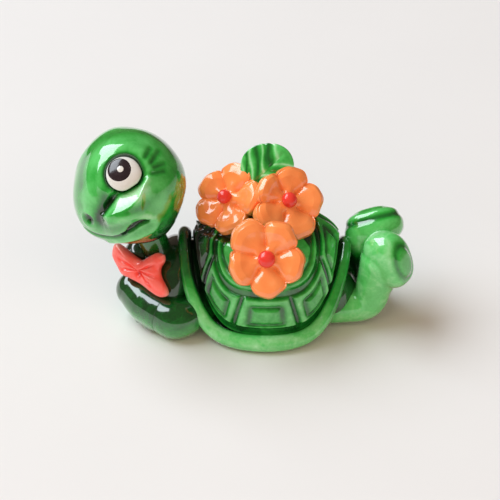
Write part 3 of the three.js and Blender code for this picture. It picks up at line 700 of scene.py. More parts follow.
# %% [markdown]
# ## Eye white, pupil and catch-light
# The eye is a glossy white lens in the socket. The pupil is painted on it, so it is a very thin cap that
# follows the lens, and the catch-light is a dab of white on the pupil. The right eye mirrors the left.


# %% Finishes of the eye
def paint(name, tones, scale, rough, coat):
    """A brushed paint of two tones, with its brush marks in the gloss too."""
    made, shader, wire = material(name)
    brush = noise(wire, scale, 3)
    feed(wire.tree, shader, {
        "Base Color": blend(brush, *tones), "Roughness": rough[0] + brush * rough[1], "Coat Weight": coat,
    })
    return made


IVORY = colour(230, 231, 227), colour(212, 214, 210)
INK = colour(24, 16, 20), colour(54, 42, 47)
white_finish = paint("eye_white_paint", IVORY, scale=900, rough=(0.16, 0.1), coat=0.5)
black_finish = paint("pupil_paint", INK, scale=1500, rough=(0.14, 0.12), coat=0.5)
print("eye finishes:", white_finish.name, black_finish.name)

# %% Eyes
LENS_DEPTH = -0.6
LENS_RISE = 0.8
PUPIL_AT = (-0.46, 0.42)
PUPIL_RADIUS, PUPIL_LIFT = 1.5, 0.05
SPARK_AT = (-0.3, 0.46)
SPARK_RADIUS, SPARK_LIFT = 0.46, 0.1

eye_centre = eye_out * egg(eye_out[None])[0]
eye_axes = np.stack([eye_back, eye_up, eye_out])


def lens_height(across, up):
    """The front of the lens above the head's surface at the middle of the eye."""
    share = np.hypot(across, up) / eye_edge(np.arctan2(up, across))
    return LENS_DEPTH + LENS_RISE * np.sqrt(np.clip(1 - share**2, 0, 1))


def eye_white(name):
    piece = ball(name, 96, 48)
    x, y, z = points_of(piece).T
    edge = eye_edge(np.arctan2(y, x))
    height = LENS_DEPTH + np.where(z > 0, LENS_RISE, 0.5) * z
    set_columns(piece, x * edge, y * edge, height)
    return piece


def dab(name, place, radius, lift):
    """A thin dab of paint that follows the lens."""
    piece = ball(name, 64, 24)
    x, y, z = points_of(piece).T
    across, up = place[0] + radius * x, place[1] + radius * y
    height = lens_height(across, up) + np.where(z > 0, lift, 0.12) * z
    set_columns(piece, across, up, height)
    return piece


def pupil(name):
    return dab(name, PUPIL_AT, PUPIL_RADIUS, PUPIL_LIFT)


def catch_light(name):
    return dab(name, SPARK_AT, SPARK_RADIUS, SPARK_LIFT)


eye_parts = [
    ("eye_white", "eye_white", white_finish, ["eye"], eye_white),
    ("pupil_dab", "pupil_black", black_finish, ["pupil"], pupil),
    ("catch_light", "eye_white", white_finish, [], catch_light),
]
for side, mirror in (("left", 1), ("right", -1)):
    flip = np.array([1, mirror, 1])
    for part, slot, finish, nodes, shape in eye_parts:
        piece = shape(part + "_" + side)
        place_by(piece, eye_axes, eye_centre)
        set_points(piece, points_of(piece) * flip)
        place_by(piece, head_axes, head_centre)
        put_on(piece, "head", slot, finish, *[node + "_" + side for node in nodes])

# %% [markdown]
# ## Torso
# Under the shell is a plump body: a chest that bulges out in front, a rump behind, and a belly between them
# that stands flat on the table, and a collar under the chin. Four primitives overlap and are fused into one
# skin, which is then smoothed and drawn in behind the chest, where the shell's rim passes.

# %% Torso
CHEST_CENTRE = np.array([-11.15, 0, 5.45])
CHEST_SIZE = np.array([10.0, 12.0, 11.2])
RUMP_CENTRE = np.array([8.85, 0, 4.15])
RUMP_SIZE = np.array([7.0, 11.0, 8.6])
COLLAR_CENTRE = np.array([-16.1, 0.9, 8.5])
COLLAR_SIZE = np.array([5.6, 5.0, 4.2])
WAIST_DEPTH = 0.32
BELLY_TOP, BELLY_FOOT, BELLY_HEIGHT = (8.9, 6.9), (9.3, 8.3), 10.2

chest = blob("chest", CHEST_SIZE, CHEST_CENTRE)
rump = blob("rump", RUMP_SIZE, RUMP_CENTRE)
belly = begin(bpy.ops.mesh.primitive_cylinder_add, "belly", vertices=96, radius=1, depth=1)
belly_points = points_of(belly)
high = belly_points[:, 2] > 0
for axis in range(2):
    belly_points[:, axis] *= np.where(high, BELLY_TOP[axis], BELLY_FOOT[axis])
belly_points[:, 2] = np.where(high, BELLY_HEIGHT, 0.0)
set_points(belly, belly_points)
collar = blob("collar", COLLAR_SIZE, COLLAR_CENTRE, 48, 32)
torso = fuse("torso_skin", [chest, rump, belly, collar], voxel=0.2, rounds=24)


def stand_flat(piece):
    """Nothing goes below the table."""
    points = points_of(piece)
    points[:, 2] = np.maximum(points[:, 2], 0)
    set_points(piece, points)


stand_flat(torso)
torso_points = points_of(torso)
x, z = torso_points[:, 0], torso_points[:, 2]
waist = step(x, -12.5, -9.5) * (1 - step(x, -6, -3)) * step(z, 1.5, 4)
torso_points[:, 1] *= 1 - WAIST_DEPTH * waist
set_points(torso, torso_points)
# The torso's glaze is kept nearly black, a deep glaze with painted shade under the shell and the head, and a
# little lighter towards the rump.
keep_depth_and_shading(torso, 0.1 + 0.12 * step(x, 0, 10) + np.clip(relief(torso, 20) * 0.3, -0.1, 0.2))
put_on(torso, "torso", "green_gloss", green_glaze, "body_core")

# %% [markdown]
# ## Shell
# The shell is a dome over a rim that is low at the flanks and arched over the neck and the legs. A ring of
# ten plates stands round it, each with an engraved inset, and a round ridge runs above them. The dome is a
# sphere whose rows are laid out by distance up from the rim, so a plate keeps its size all the way round.

# %% Shell: the dome's surface
SHELL_SIZE = np.array([19.3, 17.6, 16.0])
SHELL_FULLNESS = 0.85
RIM_THICK, RIM_THIN = 2.6, 1.9
RIM_FLANK_HEIGHT = RIM_THICK / 2 + 0.05
RIM_NECK_HEIGHT, RIM_LEG_HEIGHT = 12.1, 10.5
RIM_OVERHANG = 0.75
FIT = 0.3


def rim_height(angle):
    end = np.where(np.cos(angle) < 0, RIM_NECK_HEIGHT, RIM_LEG_HEIGHT)
    return RIM_FLANK_HEIGHT + (end - RIM_FLANK_HEIGHT) * np.abs(np.cos(angle)) ** 5


def rim_radius(angle):
    return (RIM_THIN + (RIM_THICK - RIM_THIN) * np.sin(angle) ** 2) / 2


def dome_point(angle, lift, inset=0.0):
    foot = rim_height(angle)
    return np.stack([
        (SHELL_SIZE[0] / 2 - inset) * np.cos(angle) * np.cos(lift),
        (SHELL_SIZE[1] / 2 - inset) * np.sin(angle) * np.cos(lift).clip(0) ** SHELL_FULLNESS,
        foot + (SHELL_SIZE[2] - inset - foot) * np.sin(lift),
    ], axis=-1)


def lift_table(angles, steps=300):
    """Lifts up the dome, and how far up each one is, for every angle."""
    lifts = np.linspace(0, np.pi / 2, steps)
    line = dome_point(angles[:, None], lifts[None, :])
    parts = np.linalg.norm(np.diff(line, axis=1), axis=2)
    return lifts, np.concatenate([np.zeros((len(angles), 1)), np.cumsum(parts, axis=1)], axis=1)


print("dome at the flank, half way up:", dome_point(np.array(-np.pi / 2), np.array(0.7)).round(2))

# %% Shell: even columns round the dome
PLATES = 10
PLATE_FOOT, PLATE_LENGTH, PLATE_GROOVE, RIDGE_WIDTH = 0.05, 4.6, 0.9, 1.1
COLUMNS = 440


def even_angles(count):
    """Angles at equal steps along the middle of the plates, from the left flank."""
    angles = -np.pi / 2 + np.linspace(0, 2 * np.pi, 721)
    lifts, ups = lift_table(angles)
    wanted = rim_radius(angles) + FIT + PLATE_FOOT + PLATE_LENGTH / 2
    lift = np.array([np.interp(w, up, lifts) for w, up in zip(wanted, ups)])
    line = dome_point(angles, lift)
    gone = np.concatenate([[0], np.cumsum(np.linalg.norm(np.diff(line, axis=0), axis=1))])
    return np.interp(np.linspace(0, gone[-1], count, endpoint=False), gone, angles), gone[-1]


column_angles, around = even_angles(COLUMNS)
pitch = around / PLATES
print("plates every", round(float(pitch), 2), "mm")

# %% Shell: sculpt the dome
ROWS = 190
LINING_ROWS, FINE_ROWS = 0.16, 0.76
LINING_DEPTH, EDGE_SINK, CREST_MARGIN = 1.2, 1.0, 1.3
dome = ball("dome_skin", COLUMNS, ROWS)
sphere = points_of(dome)
turn = np.mod(np.arctan2(sphere[:, 1], sphere[:, 0]), 2 * np.pi)
column = np.rint(turn / (2 * np.pi) * COLUMNS).astype(int) % COLUMNS
row = 0.5 + np.arcsin(np.clip(sphere[:, 2], -1, 1)) / np.pi
lifts, ups = lift_table(column_angles)
edge_up = rim_radius(column_angles) + FIT - EDGE_SINK
crest_up = PLATE_FOOT + PLATE_LENGTH + PLATE_GROOVE + RIDGE_WIDTH + CREST_MARGIN
climb = np.clip((row - LINING_ROWS) / (1 - LINING_ROWS), 0, 1)
length = ups[:, -1]
up = edge_up[column] + np.where(
    climb < FINE_ROWS,
    climb / FINE_ROWS * crest_up,
    crest_up + (climb - FINE_ROWS) / (1 - FINE_ROWS) * (length - edge_up - crest_up)[column],
)
lift = np.array([np.interp(u, ups[c], lifts) for u, c in zip(up, column)])
angle = column_angles[column]
outside = dome_point(angle, lift)
under = np.clip(row / LINING_ROWS, 0, 1)
lining = dome_point(angle, lift, LINING_DEPTH) * np.stack([under, under, np.ones_like(under)], axis=1)
shape = np.where((row < LINING_ROWS)[:, None], lining, outside)
set_points(dome, shape)
plate_up = up - rim_radius(angle) - FIT
print("dome rows reach", plate_up.max().round(2), "mm above its edge")

# %% [markdown]
# ### Plates, insets and ridge
# In its own plate a point has a distance from the seams at both sides and a place up from the plate's foot.
# The seams beside the two flank plates slant, so these are broad at the foot. Plates are raised inside
# their seams, the inset is a groove along a smaller outline, and above the ridge faint seams run on to the
# top. Under the flowers in front the dome is plain and pressed in, so that it stays below the petals.

# %% Shell: plates, insets and ridge
SEAM_SPREAD, SEAM_SLANT = 0.25, 1.0
DOME_TONE = 0.7
SEAM_WAYS = np.array([1, 0, 0, 0, -1, 1, 0, 0, 0, -1])
INSET_WIDTH, INSET_MIDDLE, INSET_HEIGHT = 0.55, 0.43, 0.28
INSET_CORNER, INSET_GROOVE, INSET_DEPTH = 0.35, 0.36, 0.3
PLATE_RISE, RIDGE_RISE, TOP_RISE, SEAM_DEPTH, FLOWER_BED = 0.5, 0.5, 0.28, 0.05, 0.75

next_column = dome_point(column_angles[(column + 1) % COLUMNS], lift)
column_step = np.linalg.norm(next_column - dome_point(angle, lift), axis=1)
share_up = np.clip((plate_up - PLATE_FOOT) / PLATE_LENGTH, 0, 1)
seam_shift = (SEAM_SPREAD + SEAM_SLANT * (0.5 - share_up)) / column_step


def plate_edges(number):
    """The columns of the seams at both sides of each point's plate."""
    low = (number - 0.5) * COLUMNS / PLATES + SEAM_WAYS[(number - 1) % PLATES] * seam_shift
    high = (number + 0.5) * COLUMNS / PLATES + SEAM_WAYS[number % PLATES] * seam_shift
    return low, high


number = np.rint(column / (COLUMNS / PLATES)).astype(int)
low, high = plate_edges(number)
low, high = plate_edges(number - (column < low) + (column > high))
from_low, from_high = (column - low) * column_step, (high - column) * column_step
from_seam = np.minimum(from_low, from_high)
across = np.abs(from_low - from_high) / 2
half = (from_low + from_high) / 2
from_foot = plate_up - PLATE_FOOT
from_head = PLATE_FOOT + PLATE_LENGTH - plate_up
inside = np.minimum(np.minimum(from_seam - 0.1, from_foot), from_head)
plate = step(inside, -0.02, 0.45)
inset_across = across - INSET_WIDTH * half
inset_up = np.abs(plate_up - PLATE_FOOT - INSET_MIDDLE * PLATE_LENGTH) - INSET_HEIGHT * PLATE_LENGTH
past_corner = [np.maximum(past + INSET_CORNER, 0) for past in (inset_across, inset_up)]
inset_edge = np.maximum(inset_across, inset_up)
inset_edge = np.where(inset_edge < -INSET_CORNER, inset_edge, np.hypot(*past_corner) - INSET_CORNER)
inset = bell(inset_edge, INSET_GROOVE) * step(half, 0.9, 1.6)
ridge_middle = PLATE_FOOT + PLATE_LENGTH + PLATE_GROOVE + RIDGE_WIDTH / 2
under_flowers = step(shape[:, 2], 13.0, 13.8) * step(-shape[:, 0], 1, 3)
ridge = bell(plate_up - ridge_middle, 0.62) * (1 - under_flowers)
above = step(plate_up, ridge_middle + 0.7, ridge_middle + 1.3) * (1 - under_flowers)
seams = above * bell(from_seam, 0.35) * step(half, 0.5, 1.0)
upper = above * step(from_seam, 0.2, 0.7)
on_outside = step(row, LINING_ROWS, LINING_ROWS + 0.02)
raised = PLATE_RISE * plate - INSET_DEPTH * inset * plate + RIDGE_RISE * ridge + TOP_RISE * upper
raised -= SEAM_DEPTH * seams + FLOWER_BED * under_flowers
press(dome, raised * on_outside)

dome_depth_and_shading = DOME_TONE + np.clip(relief(dome, 24) * 0.9, -0.36, 0.24)
on_inset = 0.26 * bell(inset_edge, INSET_GROOVE) + 0.08 * step(-inset_edge, 0, 0.5)
dome_depth_and_shading -= on_inset * plate + 0.34 * (1 - plate) * (1 - ridge) * (1 - upper)
# Painted shade: the dome is darker in front by the neck, under the head, over a deeper glaze there, and
# darker round the flowers' feet, where glaze also pools.
front_dark = step(-shape[:, 0], 6.0, 8.8) * step(shape[:, 2], 4, 8)
around_flowers = 0.22 * step(shape[:, 2], 12.0, 13.6)
keep_depth_and_shading(dome, averaged(dome, dome_depth_and_shading, 3) - 0.5 * front_dark - around_flowers)
shell_glaze = glaze("shell_glaze", marks=0.6)
put_on(dome, "torso", "green_gloss", shell_glaze, "shell_dome")

# %% [markdown]
# ## Rim
# The rim is a rolled band round the shell. It starts as a torus whose points are moved to the arched line,
# a little flatter on its outer side, as a rolled edge of clay would be, and it bulges towards the chest.

# %% Rim
RIM_FORE_BULGE, RIM_FORE_REACH = 0.075, 0.03
RIM_SLIM, RIM_SINK = 0.92, 0.12
RIM_TONE = 0.74
TORUS_RADIUS = 10

rim = begin(
    bpy.ops.mesh.primitive_torus_add, "rim_skin",
    major_segments=360, minor_segments=32, major_radius=TORUS_RADIUS, minor_radius=1,
)
x, y, z = points_of(rim).T
angle = np.arctan2(y, x)
section = np.arctan2(z, np.hypot(x, y) - TORUS_RADIUS)


def rim_line(angle):
    """The middle of the rim at each angle."""
    spread = SHELL_SIZE[:2] / 2 + RIM_OVERHANG
    level = np.cos(angle)
    bulge = np.where(level < 0, RIM_FORE_BULGE * np.sin(2 * angle) ** 2, 0)
    fore = bulge + RIM_FORE_REACH * step(-level, 0.7, 0.95)
    height = rim_height(angle) - RIM_SINK
    return np.stack([spread[0] * (level - fore), spread[1] * np.sin(angle), height], axis=-1)


rim_along = unit(rim_line(angle + 0.01) - rim_line(angle - 0.01))
rim_out = unit(np.stack([np.cos(angle) / SHELL_SIZE[0], np.sin(angle) / SHELL_SIZE[1], 0 * angle], axis=-1))
rim_up = unit(np.cross(rim_out, rim_along))
rim_side = np.cross(rim_along, rim_up)
girth = RIM_SLIM * rim_radius(angle) * (1 + 0.05 * np.cos(2 * section - 1.2))
ring = np.cos(section)[:, None] * rim_side + np.sin(section)[:, None] * rim_up
rim_points = rim_line(angle) + girth[:, None] * ring
rim_points[:, 2] = np.maximum(rim_points[:, 2], 0.02)
set_points(rim, rim_points)
# The rim is lighter on its upper outer side, a painted highlight, and darker on its inner side against the
# dome. It is darker in front by the neck and behind, low down by the legs, as painted shade.
front_dark = step(-rim_points[:, 0], 6.5, 9.8) * step(rim_points[:, 2], 4.5, 11)
rim_depth_and_shading = RIM_TONE + 0.1 * np.cos(section - 0.7) - 0.5 * step(np.cos(section - np.pi * 0.84), 0.5, 1)
rear_dark = step(rim_points[:, 0], 7.0, 9.5) * step(rim_points[:, 2], 2.5, 5)
keep_depth_and_shading(rim, rim_depth_and_shading - 0.55 * front_dark - 0.35 * rear_dark)
put_on(rim, "torso", "green_gloss", green_glaze, "shell_rim")

# %% [markdown]
# ## Arms
# The arms fold in front of the chest until the hands meet, the left one a little higher. Each is a ball
# drawn out along a curved path, flat where it rests on the table, with three short finger notches.


# %% Limbs
def limb(name, corners, radii, reference, columns=56, rows=110, cap=0.15):
    """A ball drawn out along a smooth path, with round ends that take a share of its rows, the cap."""
    piece = ball(name, columns, rows)
    x, y, z = points_of(piece).T
    turn = np.arctan2(y, x)
    share = 0.5 + np.arcsin(np.clip(z, -1, 1)) / np.pi
    path = smooth_path(corners)
    place = np.clip((share - cap) / (1 - 2 * cap), 0, 1) * (len(path) - 1)
    stations = np.arange(len(path))
    centre = np.stack([np.interp(place, stations, path[:, k]) for k in range(3)], axis=1)
    tangents = unit(np.gradient(path, axis=0))
    along = unit(np.stack([np.interp(place, stations, tangents[:, k]) for k in range(3)], axis=1))
    radius = np.interp(place, np.linspace(0, len(path) - 1, len(radii)), radii)
    bend = (np.clip((cap - share) / cap, 0, 1) - np.clip((share - 1 + cap) / cap, 0, 1)) * np.pi / 2
    side = unit(np.cross(along, reference))
    other = np.cross(side, along)
    around_path = np.cos(turn)[:, None] * side + np.sin(turn)[:, None] * other
    outward = np.cos(bend)[:, None] * around_path - np.sin(bend)[:, None] * along
    set_points(piece, centre + radius[:, None] * outward)
    return piece


print("limb tool ready")

# %% Arms
ARM_RADII = [2.3, 2.9, 3.0, 3.0, 2.5]
SHOULDER = (-8.4, 3.5, 3.1)
ARM_HEIGHT = 2.85
NOTCHES = [(-18.054, -2.958), (-17.034, -4.284), (-15.657, -5.508)]
NOTCH_DEPTH = 0.32
ARM_TONE = 0.22
ARM_CROSS = 1.5
ARM_SPREAD = (6.5, 6.0)
ARM_FLATNESS = 0.16
HAND_REACH = 2.65
LEFT_HAND_LIFT = 1.1


def arm(name, mirror, hand_lift):
    hand_angle = np.pi - np.arcsin((HAND_REACH + mirror * ARM_CROSS) / ARM_SPREAD[1])
    bends = np.linspace(np.radians(92), hand_angle, 5)
    reach = 1 - ARM_FLATNESS * np.sin(np.linspace(0, np.pi, 5))
    fold = np.stack([
        CHEST_CENTRE[0] + ARM_SPREAD[0] * np.cos(bends) * reach,
        mirror * ARM_SPREAD[1] * np.sin(bends) * reach,
        ARM_HEIGHT + hand_lift * np.linspace(0, 1, 5) ** 1.5,
    ], axis=1)
    shoulder = np.array(SHOULDER) * (1, mirror, 1)
    piece = limb(name, np.vstack([shoulder, fold]), ARM_RADII, (0, 0, 1))
    points = points_of(piece)
    notch = np.zeros(len(points))
    for x, y in NOTCHES:
        away = np.hypot(points[:, 0] - x, points[:, 1] + mirror * y)
        notch += bell(away, 0.45) * (1 - step(points[:, 2], 1.0, 1.9))
    press(piece, -NOTCH_DEPTH * notch)
    stand_flat(piece)
    points = points_of(piece)
    # Painted reflection of the table: the arm is paler towards its bottom. Painted shade: darker in the
    # finger notches.
    low = 1 - step(points[:, 2], 1.5, 4.5)
    keep_depth_and_shading(piece, ARM_TONE + 0.36 * low - 0.6 * notch)
    return piece


for side, mirror, hand_lift in (("left", -1, LEFT_HAND_LIFT), ("right", 1, 0)):
    put_on(arm("arm_skin_" + side, mirror, hand_lift), "torso", "green_gloss", green_glaze, "arm_" + side)

# %% [markdown]
# ## Hind legs
# The legs lie on the table, bend up at the knee and cross at the ankles. Each is a limb and a foot fused
# into one skin. The soles have an oval groove, which leaves a small island in the middle. The right foot has
# a dark band round it, and its shin is darkened on the side of the other leg as painted shade. Both legs
# are painted darker under the back of the shell and along the table, as shade.

# %% Hind legs: tools
FOOT_SQUARENESS = 0.82
TAIL = SHELL_SIZE[0] / 2
THIGH_HEIGHT = 2.55
HIP_SPREAD = 2.9
HIP_DEPTH = 2.6


def foot_axes(sole, up):
    sole = unit(sole)
    up = np.asarray(up, float)
    up = unit(up - (up @ sole) * sole)
    return np.stack([np.cross(up, sole), up, sole])


def leg(name, corners, radii, foot_centre, axes, foot_size):
    """One leg, and each point's place on the foot in shares of its half sizes."""
    shin = limb(name + "_shin", corners, radii, (0, 1, 0))
    foot = ball(name + "_foot", 64, 48)
    blocky = np.sign(points_of(foot)) * np.abs(points_of(foot)) ** FOOT_SQUARENESS
    set_points(foot, blocky * foot_size / 2)
    place_by(foot, axes, foot_centre)
    whole = fuse(name, [shin, foot], voxel=0.14, rounds=16)
    stand_flat(whole)
    on_foot = (points_of(whole) - foot_centre) @ axes.T / (foot_size / 2)
    return whole, on_foot


def finish_leg(piece, on_foot, ring_size, depth, tone, band, shade):
    """The sole's ring, a band round the foot, and painted shade below a height, if one is given."""
    across, along, out = on_foot.T
    oval = np.hypot(across / ring_size[0], along / ring_size[1])
    ring = bell((oval - 1) * 1.9, 0.42) * step(out, 0.25, 0.6)
    sole = (1 - step(oval, 0.9, 1.5)) * step(out, 0.25, 0.6)
    side = bell(out - 0.36, 0.2) * step(np.hypot(across, along), 0.5, 0.8)
    press(piece, -depth * ring - band * side)
    points = points_of(piece)
    pool = tone + np.clip(relief(piece, 30) * 0.6, -0.4, 0.2) - depth * ring - 0.7 * depth * sole
    pool -= 2 * band * side
    # Painted shade: the shin darker below a height on the side of the other leg, and the leg darker under
    # the back of the shell and along the table.
    if shade:
        towards_other = 1 - step(points[:, 1], 1.8, 3.8)
        pool -= 0.55 * (1 - step(points[:, 2], shade - 1.6, shade + 1)) * towards_other
    pool -= 0.5 * (1 - step(points[:, 0], TAIL - 0.5, TAIL + 2.0)) * step(points[:, 2], 2, 5)
    pool -= 0.2 * (1 - step(points[:, 2], 0.2, 1.8))
    keep_depth_and_shading(piece, pool)


def leg_line(side, knee, ankle, bow):
    """Corners from the hip along the thigh, over the knee and up the shin to the ankle."""
    hip = np.array([TAIL - HIP_DEPTH, side * HIP_SPREAD, THIGH_HEIGHT])
    return [hip, hip + (HIP_DEPTH, 0, 0), knee, (knee + ankle) / 2 + (bow, 0, 0), ankle]


print("leg tools ready")

# %% Hind legs: left and right
left_ankle = np.array([TAIL + 5.7, -HIP_SPREAD, 9.8])
left_knee = np.array([TAIL + 3.7, -HIP_SPREAD, THIGH_HEIGHT + 0.7])
left_sole = np.array([0.7, -0.66, 0.28])
left_foot_size = np.array([5.2, 8.0, 6.4])
left_leg, left_foot = leg(
    "leg_skin_left", leg_line(-1, left_knee, left_ankle, 0.15), [2.35, 2.35, 2.4, 3.1],
    left_ankle + left_sole + (-0.1, 0, 0.4), foot_axes(left_sole, (-0.25, 0, 1)), left_foot_size,
)
finish_leg(left_leg, left_foot, ring_size=(0.58, 0.62), depth=0.22, tone=0.8, band=0, shade=0)
put_on(left_leg, "torso", "green_gloss", green_glaze, "leg_left")

right_ankle = np.array([TAIL + 3.0, 1.9, 10.6])
right_knee = np.array([TAIL + 3.5, HIP_SPREAD, THIGH_HEIGHT + 1.4])
right_toes = np.array([0.95, -0.03, 0.3])
right_sole = np.array([-0.24, 0.6, 0.76])
right_foot_size = np.array([5.4, 8.0, 5.2])
right_leg, right_foot = leg(
    "leg_skin_right", leg_line(1, right_knee, right_ankle, 0.3), [2.35, 2.35, 2.2],
    right_ankle + right_toes * 2 + right_sole * 0.7, foot_axes(right_sole, right_toes), right_foot_size,
)
finish_leg(right_leg, right_foot, ring_size=(0.6, 0.66), depth=0.08, tone=0.74, band=0.2, shade=9)
put_on(right_leg, "torso", "green_gloss", green_glaze, "leg_right")

# %% [markdown]
# ## Bow tie
# A coral bow sits on the chest under the chin: two unequal lobes pinched at a knot, with creases that fan
# out from it. A ball is flattened and drawn out to the bow's outline, then the creases and the knot's
# dimple are pressed in. Paint is thin on the creases' crests, so they look paler.

# %% Coral paint
coral_finish, coral_shader, wire = material("coral_paint")
brush = noise(wire, 700, 4, 0.8)
coral = look_up(kept(wire, "pool") + (brush - 0.5) * 0.3, [
    (0.0, colour(196, 24, 20)),
    (0.35, colour(252, 66, 54)),
    (0.6, colour(255, 92, 80)),
    (1.0, colour(255, 176, 166)),
])
feed(wire.tree, coral_shader, {
    "Base Color": coral, "Roughness": 0.16 + brush * 0.14, "Normal": waviness(brush, 0.1, 0.0001),
    "Coat Weight": 0.5,
})
print("coral:", coral_finish.name)

# %% Bow tie
BOW_THICKNESS = 2.2
BOW_TURN, BOW_ROLL, BOW_LEAN = np.radians(55), np.radians(-1), 0.42
BOW_AZIMUTH, BOW_ELEVATION = np.radians(28), np.radians(27)
BOW_SHIFT = (-0.36, -0.29, 0.0)
RIGHT_CREASES, LEFT_CREASES, CREASE_WIDTH = (-0.42, 0.05, 0.62), (-0.25, 0.2), 0.1
CREASE_DEPTH, DIMPLE_DEPTH = 0.3, 0.4
BOW_OUTLINE = np.array([
    (3.03, 3.18), (3.29, 2.47), (2.98, 1.47), (3.04, 0.79), (3.5, 0.04), (4.71, -1.03), (4.97, -1.73),
    (4.14, -2.29), (3.09, -2.25), (1.69, -1.94), (0.59, -1.74), (-1.28, -1.59), (-2.63, -1.47),
    (-3.94, -0.44), (-4.8, 0.52), (-4.84, 1.87), (-4.26, 2.18), (-2.57, 1.73), (-0.78, 1.37), (0.09, 1.5),
    (1.03, 2.39), (2.0, 3.17),
])

bow_level = np.cos(BOW_ELEVATION)
bow_seat = np.array([
    -np.cos(BOW_AZIMUTH) * bow_level, -np.sin(BOW_AZIMUTH) * bow_level, np.sin(BOW_ELEVATION),
])
bow_seat = bow_seat * CHEST_SIZE / 2
bow_centre = CHEST_CENTRE + bow_seat + unit(bow_seat) * (BOW_THICKNESS / 2 + FIT)


def level_axes(facing, roll=0.0):
    """Axes whose z points along facing and whose x is level, turned about z by roll."""
    z = unit(facing)
    x = unit(np.cross((0, 0, 1), z))
    y = np.cross(z, x)
    return np.stack([np.cos(roll) * x + np.sin(roll) * y, np.cos(roll) * y - np.sin(roll) * x, z])


def bow_edge(turn):
    """How far the bow reaches from its knot at each turn."""
    line = smooth_path(np.vstack([BOW_OUTLINE, BOW_OUTLINE[:1]]), 400)
    line_turn = np.unwrap(np.arctan2(line[:, 1], line[:, 0]))
    reach = np.hypot(line[:, 0], line[:, 1])
    order = np.argsort(line_turn)
    return np.interp(turn, line_turn[order], reach[order], period=2 * np.pi)


bow = ball("bow_skin", 220, 90)
x, y, z = points_of(bow).T
turn = np.arctan2(y, x)
share = np.hypot(x, y)
reach = bow_edge(turn) * share
bow_x, bow_y = reach * np.cos(turn), reach * np.sin(turn)
lobe = step(np.hypot(bow_x, 0.6 * bow_y), 0.5, 2.4)
bow_z = np.sign(z) * np.abs(z) ** 0.75 * BOW_THICKNESS / 2 * (0.72 + 0.28 * lobe)
set_columns(bow, bow_x, bow_y, bow_z)
fan = np.where(bow_x > 0, np.arctan2(bow_y, bow_x), np.arctan2(bow_y, -bow_x))
right_creases, left_creases = (
    sum(bell(fan - at, CREASE_WIDTH) for at in places) for places in (RIGHT_CREASES, LEFT_CREASES)
)
creases = np.where(bow_x > 0, right_creases, left_creases) * bell(reach - 1.5, 1.3)
front = step(bow_z, 0.0, 0.4)
dimple = bell(np.hypot(bow_x - 0.25, bow_y + 0.35), 0.42) * front
press(bow, -CREASE_DEPTH * creases * front - DIMPLE_DEPTH * dimple)
keep_depth_and_shading(bow, 0.6 + relief(bow, 20) * 1.3 - 0.5 * dimple)
set_points(bow, points_of(bow) + BOW_SHIFT)
place_by(bow, level_axes((-np.cos(BOW_TURN), -np.sin(BOW_TURN), BOW_LEAN), BOW_ROLL), bow_centre)
put_on(bow, "torso", "coral_paint", coral_finish, "bow_tie")

# %% [markdown]
# ## Flowers
# Three flowers of five plump petals stand on the shell. One is modelled, from a ball whose upper half is
# the face and whose lower half is the back and the stem, and then copied. The petals are painted orange up
# to their edges, where the brush missed spots and the green shows.

# %% Orange paint over green
orange_finish, orange_shader, wire = material("orange_paint")
brush = noise(wire, 500, 4, 0.5)
orange = look_up(kept(wire, "pool") + (brush - 0.5) * 0.3, [
    (0.0, colour(240, 100, 42)),
    (0.4, colour(255, 132, 64)),
    (0.65, colour(255, 152, 84)),
    (1.0, colour(255, 190, 136)),
])
bare = look_up(0.5 + (brush - 0.5) * 0.8, GLAZE)
ragged = wire.node("MapRange", {"interpolation_type": "SMOOTHSTEP"}, {
    "Value": kept(wire, "paint") + (brush - 0.5) * 0.5, "From Min": 0.46, "From Max": 0.54,
})
feed(wire.tree, orange_shader, {
    "Base Color": blend(ragged, bare, orange), "Roughness": 0.14 + brush * 0.12,
    "Normal": waviness(brush, 0.1, 0.00012), "Coat Weight": 0.9, "Coat IOR": 1.55,
})
print("orange:", orange_finish.name)

# %% Flowers: one flower
FLOWER_RADIUS = 5.0
FLOWER_DEPTH = 1.1
FLOWER_NOTCH = 0.22
VALLEY_DEPTH, HOLLOW_DEPTH = 0.85, 0.3
PETALS = 5
FACE_ROWS = [0, 0.1, 0.25, 0.42, 0.56, 0.62, 0.68, 0.76, 0.84, 0.9, 0.96, 1]
FACE_REACH = [0, 0.2, 0.42, 0.68, 0.86, 0.965, 1.01, 0.97, 0.89, 0.82, 0.76, 0]
FACE_HEIGHT = [0.28, 0.36, 0.66, 0.98, 0.94, 0.62, 0.0, -0.6, -1.3, -2.2, -3.1, -3.3]
PETAL_TILTS = np.array([0.12, -0.1, 0.16, -0.05, 0.05])

flower = ball("flower_master", 240, 150)
sphere = points_of(flower)
turn = np.arctan2(sphere[:, 1], sphere[:, 0])
row = 0.5 - np.arcsin(np.clip(sphere[:, 2], -1, 1)) / np.pi
reach = np.interp(row, FACE_ROWS, FACE_REACH)
height = np.interp(row, FACE_ROWS, FACE_HEIGHT) * FLOWER_DEPTH
petal = np.abs(np.cos(PETALS / 2 * turn)) ** 0.6
radius = reach * FLOWER_RADIUS * (1 - FLOWER_NOTCH * np.minimum(reach, 1) ** 2 * (1 - petal))
uneven = 0.016 * np.sin(7 * turn + 1) + 0.012 * np.sin(13 * turn + 2)
radius = radius * (1 + reach**2 * uneven)
from_middle = np.mod(turn + np.pi / PETALS, 2 * np.pi / PETALS) - np.pi / PETALS
from_valley = radius * np.sin(np.pi / PETALS - np.abs(from_middle))
on_face = 1 - step(row, 0.56, 0.66)
half_width = radius * np.sin(np.pi / PETALS) + 0.2
valley = (1 - np.clip(from_valley / half_width, 0, 1)) ** 2.4 * step(radius, 0.8, 1.8) * on_face
hollow = bell(radius * np.sin(from_middle), 0.95) * bell(radius - 2.7, 1.2) * on_face
which = np.rint(np.mod(turn, 2 * np.pi) / (2 * np.pi / PETALS)).astype(int) % PETALS
